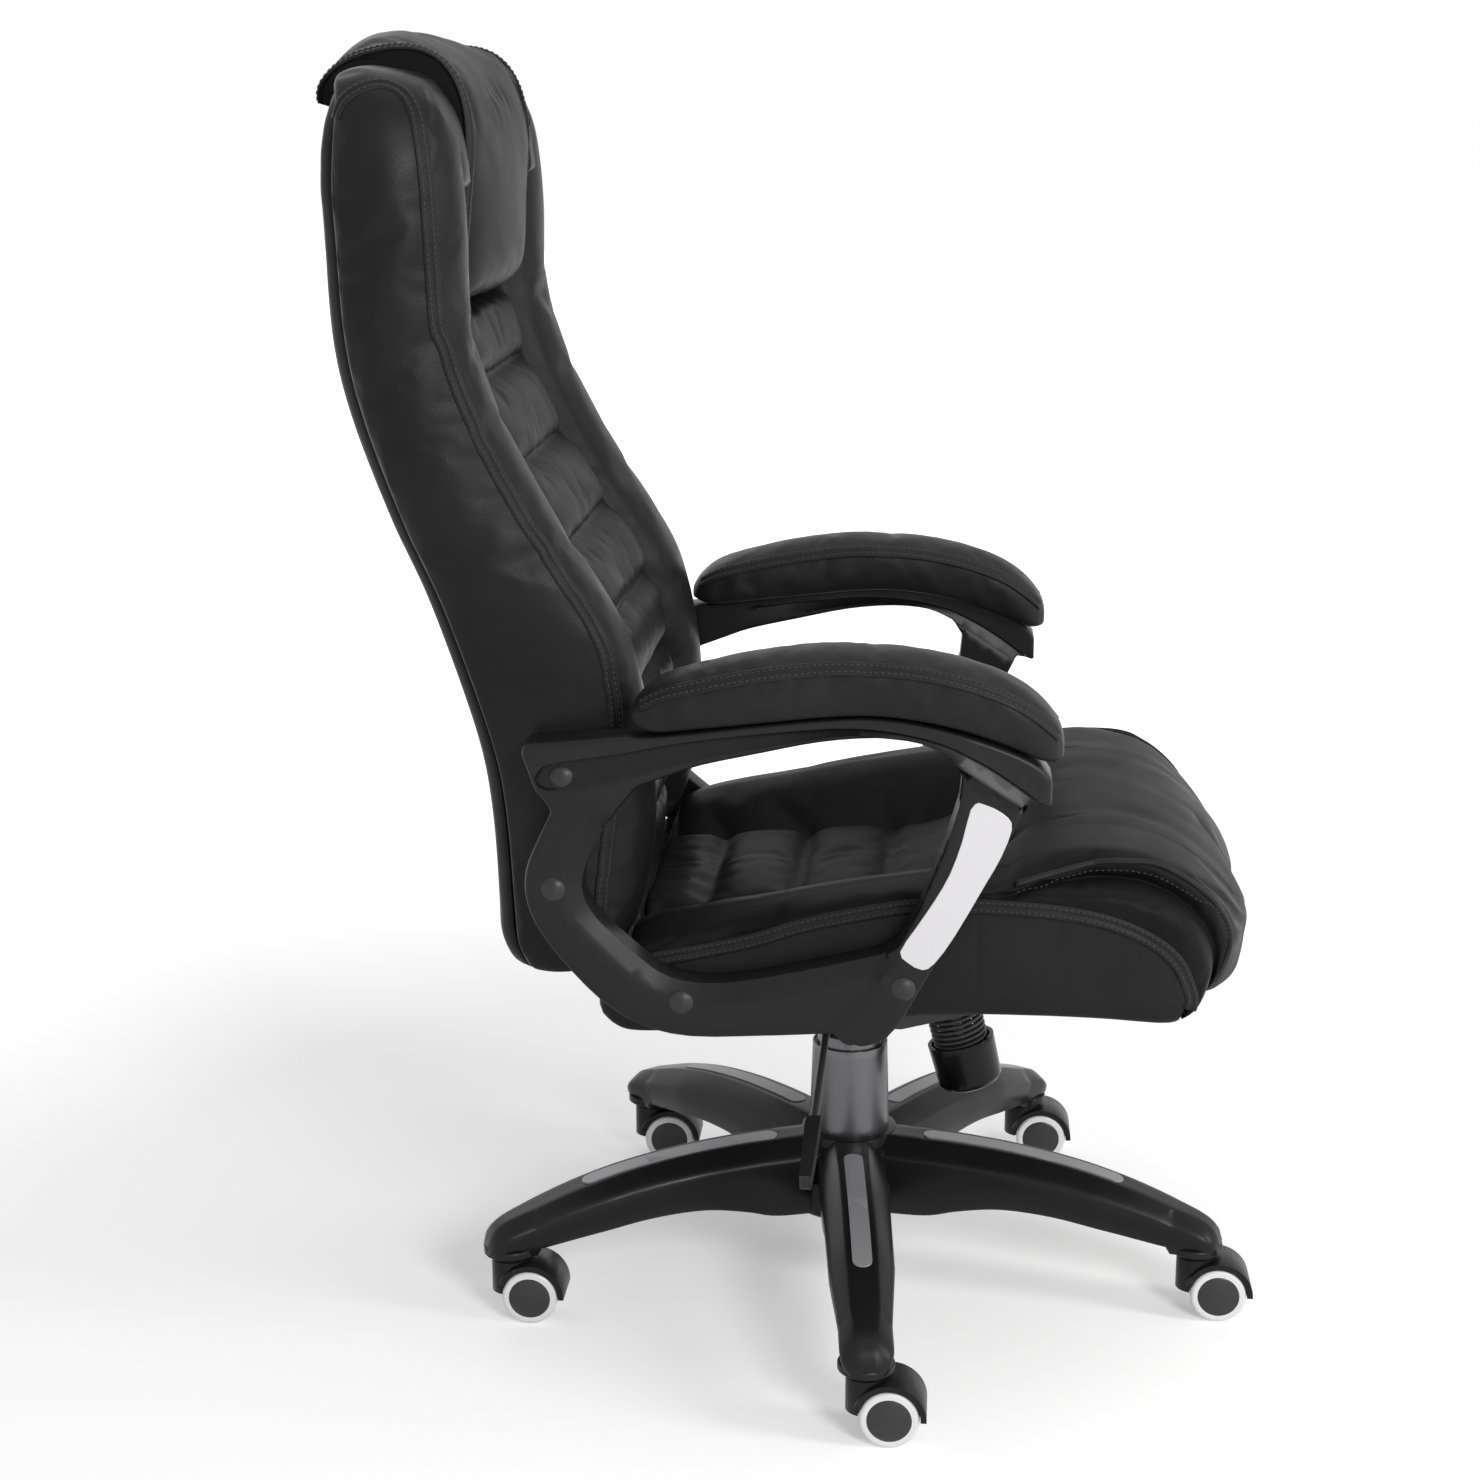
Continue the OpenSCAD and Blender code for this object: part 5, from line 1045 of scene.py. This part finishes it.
def makeBackSeams():
    v = backSeam
    tree = surfaceOf(frameBack)
    # up the side along the gusset's front edge, then over the shoulder to the rear edge
    low = [(float(cornerX(z)) + 0.5, z) for z in range(v["from"], v["to"], v["step"])]
    line = evenLine(smoothLine(low + v["arch"], 3), seam["spacing"])
    outline = lookUp(backFrame["outline"])
    for word, side in sides:
        feltSeam("back_seam_" + word, tree, np.array([(x, -side * (float(outline(z)) + 2), z) for x, z in line]))
        cross = [(cornerX(v["height"] + t * v["rise"]) + 2 + t * v["forward"], side * (v["outer"] - t * v["run"]),
                  v["height"] + t * v["rise"]) for t in np.linspace(0, 1, 24)]
        spots, outs = lieOn(tree, np.array(cross))
        runShape("bolster_seam_" + word, spots, outs, creaseShape)


makeBackSeams()
print("back seams sewn")


# arm pads

armPad = {
    "top": [(-169, 604), (-158, 618), (-140, 630), (-110, 639), (-71, 648), (-32, 654), (3, 656), (47, 654),
            (86, 648), (125, 636), (152, 621), (170, 602), (178, 583)],
    "bottom": [(-169, 594), (-150, 588), (-110, 592), (-63, 597.5), (3, 604.5), (47, 603.5), (94, 595), (134, 582),
               (158, 571), (170, 569.5), (178, 573)],
    "wide": [(-169, 0.5), (-165, 0.68), (-158, 0.82), (-140, 0.95), (-100, 1), (80, 1), (130, 0.97), (155, 0.9),
             (168, 0.78), (175, 0.6), (178, 0.42)],
    # half a section from under the pad to its crown: shares of the half width and of the height
    "section": [(0, 0), (0.6, 0), (0.84, 0.02), (0.96, 0.14), (1, 0.34), (0.995, 0.52), (0.95, 0.68), (0.85, 0.83),
                (0.66, 0.93), (0.4, 0.985), (0, 1)],
    "half": 38, "middle": 261, "spacing": 6, "leastHigh": 6, "gap": 0.4,
    # the seam along each side: from, to, and its shares of the half width and of the height
    "seamFrom": -160, "seamTo": 172, "seamOut": 0.9, "seamHigh": 0.78,
}


def makeArmPads():
    v = armPad
    top, bottom, wide = lineAt(v["top"]), lineAt(v["bottom"]), lineAt(v["wide"], 3)
    xs = np.unique(np.r_[np.arange(-168, 176, v["spacing"]), -168.8, -165, 172, 175, 177.6])
    for word, side in sides:
        rings, held = [], []
        for x in xs:
            b = float(bottom(x)) + v["gap"]
            h, w = max(float(top(x)) - b, v["leastHigh"]), v["half"] * float(wide(x))
            half = smoothLine([(a * w, b + c * h) for a, c in v["section"]], 2)
            ring = [(x, side * (v["middle"] + q[0]), q[1]) for q in half]
            ring += [(x, side * (v["middle"] - q[0]), q[1]) for q in half[-2:0:-1]]
            rings.append(ring)
            # held underneath, and where the seam lies
            pin = np.zeros(len(half))
            pin[:5] = pin[14] = 1
            held.append(np.r_[pin, pin[-2:0:-1]])
        held[0][:] = held[-1][:] = 1
        piece = skinRings("arm_pad_" + word, rings, padLeather)
        puff(piece, np.array(held).ravel(), limit=2.5, spare=0.01, pressure=3, frames=12)
        finishSoft(piece, "arm_pads")
        tree = surfaceOf(piece)
        along = np.linspace(v["seamFrom"], v["seamTo"], 60)
        for edge in (-1, 1):
            line = [(x, side * v["middle"] + edge * v["half"] * float(wide(x)) * v["seamOut"],
                     bottom(x) + (top(x) - bottom(x)) * v["seamHigh"]) for x in along]
            feltSeam("arm_pad_seam_" + word + ("_in" if edge * side < 0 else "_out"), tree, line)


makeArmPads()
print("arm pads made")


# arm frames: a height over a flat outline

armFrame = {
    "barTop": [(-256, 567), (-253, 576), (-236, 578), (-192, 582), (-150, 585), (-110, 590), (-63, 596), (3, 603),
               (47, 602), (94, 593), (134, 580), (158, 568), (168, 556)],
    "postFront": [(168, 534), (151, 537), (140, 514), (121, 472), (98, 434), (74, 391), (51, 348)],
    "postFoot": [(39, 334), (23, 328), (6, 329), (-2, 337)],
    "loopUnder": [(-30, 335), (-63, 333), (-121, 331), (-162, 340), (-195, 361), (-227, 395), (-247, 424),
                  (-255, 449), (-254, 471), (-246, 492), (-233, 520)],
    "barRear": [(-237, 527), (-246, 538)],
    "openTop": [(-134, 553), (-111, 561), (-63, 572), (-16, 582), (28, 586), (63, 583), (88, 572)],
    "postRear": [(97, 558), (95, 535), (84, 497), (65, 446), (48, 414)],
    "loopTop": [(34, 404), (-31, 388), (-96, 376), (-137, 380), (-162, 396), (-194, 425), (-207, 445), (-209, 463),
                (-200, 489), (-185, 514), (-163, 542)],
    "post": [(88, 569), (115, 551), (135, 538), (148, 529), (140, 514), (121, 472), (98, 434), (74, 391),
             (51, 348), (39, 334), (23, 328), (6, 329), (-2, 337), (2, 350), (18, 368), (42, 403), (65, 446),
             (84, 497), (96, 538)],
    # the long channel: its upper edge, its lower edge and its round rear end
    "channelTop": [(-243, 553), (-238, 558), (-224, 562), (-176, 570), (-127, 580), (-68, 588), (-32, 592),
                   (0, 594.5), (39, 593), (80, 585), (111, 571), (134, 557), (155, 542), (166, 533)],
    "channelLow": [(151, 530), (135, 539.5), (115, 552.5), (94, 566), (75, 577), (54, 584), (13, 588), (-27, 583),
                   (-79, 573.5), (-135, 561), (-192, 547), (-222, 539)],
    "channelEnd": [(-236, 538), (-243, 541), (-246, 547)],
    # y of the two faces, and the radius of the outer and the inner face's edges
    "inner": 251, "outer": 287, "gap": 0.4, "round": 4.0, "innerRound": 2,
    # the post's face stands proud with a soft rim; the bar grows proud toward the front
    "proud": 3.5, "proudRim": 3.0, "barProud": 7, "barFrom": 20, "barRun": 80,
    # the lighter band round the inside of the loop: width, depth, and below and behind which lines it runs
    "chamfer": 15, "chamferDrop": 8, "bandTop": 520, "bandFade": 14, "bandFront": 42, "bandEnd": 4,
    # the channel: depth, its lip's width, the share left at its lower edge, and where the inner face has it too
    "grooveDeep": 5.5, "lip": 1.6, "leastShare": 0.12, "innerFrom": -120, "innerRun": 60,
    # the mesh: spacing along the edges, rows beside them, and a grid between them
    "spacing": 3.6, "rows": (0.8, 2.2), "grid": 7.0, "gridInset": 5.5, "gridClear": 3.2,
    "gridWide": (-254, 168), "gridHigh": (332, 602),
}


def insidePolygon(points, polygon):
    inside = np.zeros(len(points), bool)
    a, b = polygon, np.roll(polygon, -1, 0)
    for (x1, y1), (x2, y2) in zip(a, b):
        crosses = ((y1 > points[:, 1]) != (y2 > points[:, 1]))
        t = (x2 - x1) * (points[:, 1] - y1) / (y2 - y1 + 1e-12) + x1
        inside ^= crosses & (points[:, 0] < t)
    return inside


def awayFrom(points, polygon, closed=True):
    # distance from each point to a line of segments
    a = polygon if closed else polygon[:-1]
    b = np.roll(polygon, -1, 0) if closed else polygon[1:]
    best = np.full(len(points), 1e9)
    for p, q in zip(a, b):
        d = q - p
        t = np.clip(((points - p) @ d) / max(d @ d, 1e-9), 0, 1)
        best = np.minimum(best, np.linalg.norm(points - p - t[:, None] * d, axis=1))
    return best


def turning(loop):
    # 1 for a loop that runs anticlockwise, -1 for the other way
    area = np.sum(loop[:, 0] * np.roll(loop[:, 1], -1) - np.roll(loop[:, 0], -1) * loop[:, 1])
    return -1 if area < 0 else 1


def quarterRound(away, radius):
    # how far a rounded edge falls, by the distance from the edge
    return np.where(away < radius, radius - np.sqrt(np.clip(radius ** 2 - (radius - away) ** 2, 0, None)), 0)


def offsetLoop(loop, distance):
    way = unit(np.roll(loop, -1, 0) - np.roll(loop, 1, 0))
    return loop + np.stack([-way[:, 1], way[:, 0]], 1) * distance


def closedLoop(points, spacing):
    loop = evenLine(np.vstack([points, points[:1]]), spacing)
    return loop[:-1]


def armLoops():
    v = armFrame
    smooth = lambda name: smoothLine(v[name], 3)
    close = lambda *parts: closedLoop(np.vstack(parts), v["spacing"])
    return {
        "outer": close(smooth("barTop"), v["postFront"], smooth("postFoot"), smooth("loopUnder"), v["barRear"]),
        "opening": close(smooth("openTop"), v["postRear"], smooth("loopTop")),
        "groove": close(smooth("channelTop"), smooth("channelLow"), v["channelEnd"]),
        "post": close(v["post"]), "channelTop": smooth("channelTop"), "channelLow": smooth("channelLow"),
    }


def armMesh(loops):
    # a flat mesh of the frame, (x, z): rows of points beside the edges and a grid between them
    v = armFrame
    outer, opening, groove = loops["outer"], loops["opening"], loops["groove"]
    points, edges = [], []

    def within(spots, gap):
        inside = insidePolygon(spots, outer) & ~insidePolygon(spots, opening)
        return inside & (awayFrom(spots, outer) > gap) & (awayFrom(spots, opening) > gap)

    def addRow(row, keep):
        index = {}
        for i in np.nonzero(keep)[0]:
            index[i] = len(points)
            points.append(row[i])
        for i in index:
            k = (i + 1) % len(row)
            if k in index:
                edges.append((index[i], index[k]))

    addRow(outer, np.ones(len(outer)))
    addRow(opening, np.ones(len(opening)))
    for d in v["rows"] + (v["round"],):
        for loop, way in ((outer, turning(outer)), (opening, -turning(opening))):
            row = offsetLoop(loop, way * d)
            addRow(row, within(row, d * 0.93))
    band = offsetLoop(opening, -turning(opening) * v["chamfer"])
    low = (band[:, 1] < v["bandTop"]) & (band[:, 0] < v["bandFront"] - 2)
    addRow(band, within(band, v["chamfer"] * 0.9) & low)
    addRow(groove, within(groove, 1.0))
    lip = offsetLoop(groove, turning(groove) * v["lip"])
    addRow(lip, within(lip, 1.0) & insidePolygon(lip, groove))
    across, up = [np.arange(least, most, v["grid"]) for least, most in (v["gridWide"], v["gridHigh"])]
    grid = np.stack(np.meshgrid(across, up), -1).reshape(-1, 2)
    grid = grid[within(grid, v["gridInset"])]
    every = np.array(points)
    near = np.array([np.min(np.hypot(*(every - p).T)) for p in grid])
    points += list(grid[near > v["gridClear"]])
    made = delaunay_2d_cdt([Vector(p) for p in points], edges, [], 0, 1e-4)
    flat = np.array([tuple(p) for p in made[0]])
    centres = np.array([flat[list(f)].mean(0) for f in made[2]])
    good = insidePolygon(centres, outer) & ~insidePolygon(centres, opening)
    return flat, [f for f, g in zip(made[2], good) if g]


def armFaces(loops, flat):
    # how far out the outer and the inner face lie at each point of the mesh
    v = armFrame
    xs, zs = flat.T
    toOpen = awayFrom(flat, loops["opening"])
    edge = np.minimum(awayFrom(flat, loops["outer"]), toOpen)
    lower = ramp(zs, v["bandTop"], -v["bandFade"]) * ramp(xs, v["bandFront"], -v["bandEnd"])
    slope = np.clip(1 - toOpen / v["chamfer"], 0, 1) * v["chamferDrop"] * lower
    # the channel is deepest under its upper lip and runs out toward the lower edge
    toTop, toLow = awayFrom(flat, loops["channelTop"], False), awayFrom(flat, loops["channelLow"], False)
    share = v["leastShare"] + (1 - v["leastShare"]) * toLow / (toTop + toLow + 0.01)
    deep = ramp(awayFrom(flat, loops["groove"]), 0, v["lip"]) * share
    channel = np.where(insidePolygon(flat, loops["groove"]), deep, 0) * v["grooveDeep"]
    onPost = insidePolygon(flat, loops["post"])
    lowEdge = np.interp(xs, *loops["channelLow"][::-1].T)
    onBar = (zs > lowEdge - 0.5) & ~onPost
    inner = np.where(onPost, ramp(awayFrom(flat, loops["post"]), 0, v["proudRim"]), 0)
    high = v["outer"] + np.where(onPost, v["proud"] * np.where(edge < v["proud"], 1.0, inner), 0)
    high = high - np.maximum(quarterRound(edge, v["round"]), slope) - channel * (1 - onPost)
    high += np.where(onBar, v["barProud"] * ramp(xs, v["barFrom"], v["barRun"]), 0)
    low = v["inner"] + v["gap"] + quarterRound(edge, v["innerRound"])
    return high, low + channel * ramp(xs, v["innerFrom"], v["innerRun"])


def makeArmFrames():
    loops = armLoops()
    flat, faces = armMesh(loops)
    high, low = armFaces(loops, flat)
    # the two faces, and a wall along every edge that only one triangle uses
    count = len(flat)
    used = {}
    for f in faces:
        for pair in zip(f, f[1:] + f[:1]):
            pair = tuple(sorted(pair))
            used[pair] = used.get(pair, 0) + 1
    skin = [tuple(f) for f in faces] + [tuple(i + count for i in reversed(f)) for f in faces]
    skin += [(a, b, b + count, a + count) for (a, b), times in used.items() if times == 1]
    keep = sorted({i for f in skin for i in f})
    number = {old: new for new, old in enumerate(keep)}
    skin = [tuple(number[i] for i in f) for f in skin]
    for word, side in sides:
        shell = np.vstack([np.stack([flat[:, 0], side * face, flat[:, 1]], 1) for face in (high, low)])
        piece = makePiece("arm_shell_" + word, shell[keep], skin, armPlastic, "upper", sharp=38)
        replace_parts(piece, "arm_frame_" + word)


makeArmFrames()
print("arm frames made")


# five-legged base

base = {
    "line": [(0, 141), (60, 141), (107, 140.5), (160, 137), (216, 129), (265, 117), (310, 101.5), (332, 93),
             (343, 85), (348.5, 75), (350, 64.5)],
    "belly": [(30, 68), (80, 70.5), (110, 78.5), (150, 85.5), (197, 84.5), (245, 77.5), (305, 66.5), (350, 60.5)],
    # half widths by distance from the middle: the leg's, and its flat top's
    "leg": ([0, 110, 240, 304], [31, 31, 29, 23.4]), "flat": ([60, 240, 300, 340], [14.5, 13, 12, 8]),
    "turn": 4.9, "stemCircle": 327, "footFrom": 304, "footHalf": 23.2, "footRound": 23.4, "footPower": 3.2,
    "footUnder": 60.6,
    # the seat for the inlay: half width, from, to, above which height, and how deep
    "inlay": (8, 72, 259, 110, 1.2),
    # rim of the foot, where the caster's stem goes in
    "collar": [(14, 60.6), (23, 60.6), (24, 61.6), (24, 66.4), (23.2, 67.6), (14, 67.6)],
    # hub turned on a lathe: stepped skirt, neck and the collar under the column cover
    "hub": [(26, 66.5), (52, 66.5), (55, 69), (56, 74), (56, 98), (54.5, 100), (51.5, 101), (51, 104), (51, 124),
            (50, 128), (47, 131), (44.5, 133), (43.8, 141.4), (42.5, 142), (25.4, 142), (25.2, 120), (25.2, 80)],
}


def makeLathe(name, profile, centre, count=48):
    points = [(centre[0] + r * math.cos(t), centre[1] + r * math.sin(t), z) for r, z in profile
              for t in np.linspace(0, 2 * math.pi, count, endpoint=False)]
    rows = len(profile)
    faces = [(j * count + i, j * count + (i + 1) % count, ((j + 1) % rows) * count + (i + 1) % count,
              ((j + 1) % rows) * count + i) for j in range(rows) for i in range(count)]
    return makePiece(name, points, faces, nylon, "base", sharp=30)


def makeBase():
    v = base
    top, belly = lineAt(v["line"]), lineAt(v["belly"])
    rings = []
    # the stations lie closer together over the foot
    for r in np.r_[np.arange(22, 304, 7), np.arange(306, 350, 4), 349.4]:
        t, b = float(top(r)), float(belly(r))
        w = np.interp(r, *v["leg"])
        if r > v["footFrom"]:
            past = max(r - v["stemCircle"], 0) / v["footRound"]
            w = v["footHalf"] * max(1 - past ** v["footPower"], 0.03) ** (1 / v["footPower"])
            b = v["footUnder"]
        flatHalf = min(np.interp(r, *v["flat"]), w * 0.55)
        h = t - b
        fall = min(0.26 * h, 13)
        half = [(flatHalf * 0.5, t), (flatHalf - 1, t), (flatHalf + 1.5, t - 0.9), (w - 5, t - fall + 1.5),
                (w - 1.6, t - fall - 1.5), (w - 0.3, t - fall - 5), (w - 1.2, b + 0.35 * h), (w - 3.4, b + 3),
                (w - 5.5, b)]
        rings.append([(r, y, z) for y, z in half] + [(r, -y, z) for y, z in half[::-1]])
    ring = np.array(rings)
    # the legs' tops are let in for the inlays
    half, start, stop, above, deep = v["inlay"]
    along, out, up = ring[:, :, 0], ring[:, :, 1], ring[:, :, 2]
    up -= np.where((abs(out) < half) & (along > start) & (along < stop) & (up > above), deep, 0)
    rows, cols = ring.shape[:2]
    faces = skinFaces(rows, cols)
    for k in range(5):
        a = math.radians(v["turn"] - 90 + 72 * k)
        c, s = math.cos(a), math.sin(a)
        flat = ring.reshape(-1, 3)
        spun = np.stack([flat[:, 0] * c - flat[:, 1] * s, flat[:, 0] * s + flat[:, 1] * c, flat[:, 2]], 1)
        leg = makePiece("base_leg_%d" % (k + 1), spun, faces, nylon, "base", sharp=34)
        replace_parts(leg, "base_star")
        collar = makeLathe("base_collar_%d" % (k + 1), v["collar"], (v["stemCircle"] * c, v["stemCircle"] * s))
        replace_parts(collar, "base_star")
    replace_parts(makeLathe("base_hub", v["hub"], (0, 0), 96), "base_star")


makeBase()
print("base made")


# the rest keeps its shape, with softened edges

# bevels: rounding steps, the least angle in degrees, and how near the corners are that are joined first
softEdge = {"segments": 2, "angle": 32, "join": 0.02}


def dress(names, material, bevel=0.0):
    for name in names:
        node = nodes[name]
        node.data.materials.clear()
        node.data.materials.append(material)
        if bevel:
            weld = node.modifiers.new("join", "WELD")
            weld.merge_threshold = softEdge["join"] * mm
            soft = node.modifiers.new("soften", "BEVEL")
            soft.width = bevel * mm
            soft.segments = softEdge["segments"]
            soft.limit_method = "ANGLE"
            soft.angle_limit = math.radians(softEdge["angle"])
            soft.harden_normals = True
            soft.use_clamp_overlap = True


each = lambda stem: [stem + str(k) for k in range(1, 6)]
dress(each("caster_housing_"), nylon, 0.8)
dress(each("caster_hubs_"), wheelCap, 0.5)
dress(each("caster_tyres_"), tyreWhite)
dress(each("caster_axle_") + ["caster_stems", "gas_piston_rod", "gas_valve_pin", "thrust_bearing", "tilt_axle",
                              "lever_pivot_pin", "tension_bolt", "spring_washer", "seat_bolts", "seat_tee_nuts",
                              "arm_bolts"], brightSteel)
dress(["base_inlays"], satinInlay, 0.5)
dress(["gas_stand_tube", "gas_pressure_tube"], paintedSteel)
dress(["mechanism_housing", "lever_cradle", "seat_plate"], paintedSteel, 0.8)
dress(["gas_guide_bush"], bushWhite)
dress(["bump_stop"], bumpRubber)
dress(["cover_lower", "cover_middle", "cover_upper"], sleeveGrey, 0.5)
dress(["lever_rod"], leverPlastic)
dress(["lever_paddle"], leverPlastic, 1.2)
dress(["tension_knob"], glossPlastic, 1.0)
dress(["seat_board"], plyMaterial)
dress(["back_board"], stainedPly)
dress(["seat_dust_cover"], dustMaterial)
dress(["arm_inlays"], silverInlay, 0.5)
dress(["arm_bolt_caps"], capPlastic, 0.4)


# tension spring: the solid's coil with a rounder wire

coil = {"rimX": 102.1, "rimZ": 230, "lean": 14.3, "radius": 23.6, "wire": 4.2, "curls": 11, "low": -23.2,
        "high": 40.1, "steps": 40, "sides": 10, "slim": 0.985, "endSlim": 0.7}


def makeSpring():
    v = coil
    low, high = v["low"] + v["wire"], v["high"] - v["wire"]
    count = int(v["curls"] * v["steps"])
    t = np.linspace(0, 1, count + 1)
    a = t * 2 * math.pi * v["curls"]
    line = np.stack([v["radius"] * np.cos(a), v["radius"] * np.sin(a), low + (high - low) * t], 1)
    out = np.stack([np.cos(a), np.sin(a), 0 * a], 1)
    up = np.cross(unit(np.gradient(line, axis=0)), out)
    lean = math.radians(v["lean"])

    def leaned(x, y, z):
        return (x * math.cos(lean) - z * math.sin(lean) + v["rimX"], y,
                x * math.sin(lean) + z * math.cos(lean) + v["rimZ"])

    points = []
    for i in range(len(line)):
        r = v["wire"] / 2 * (v["slim"] if 0 < i < count else v["endSlim"])
        for k in range(v["sides"]):
            b = k * 2 * math.pi / v["sides"]
            points.append(leaned(*(line[i] + r * (math.cos(b) * out[i] + math.sin(b) * up[i]))))
    piece = makePiece("tension_coil", points, skinFaces(len(line), v["sides"]), paintedSteel, None)
    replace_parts(piece, "tension_spring")
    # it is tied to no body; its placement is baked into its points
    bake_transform(piece)


makeSpring()
print("small parts dressed")
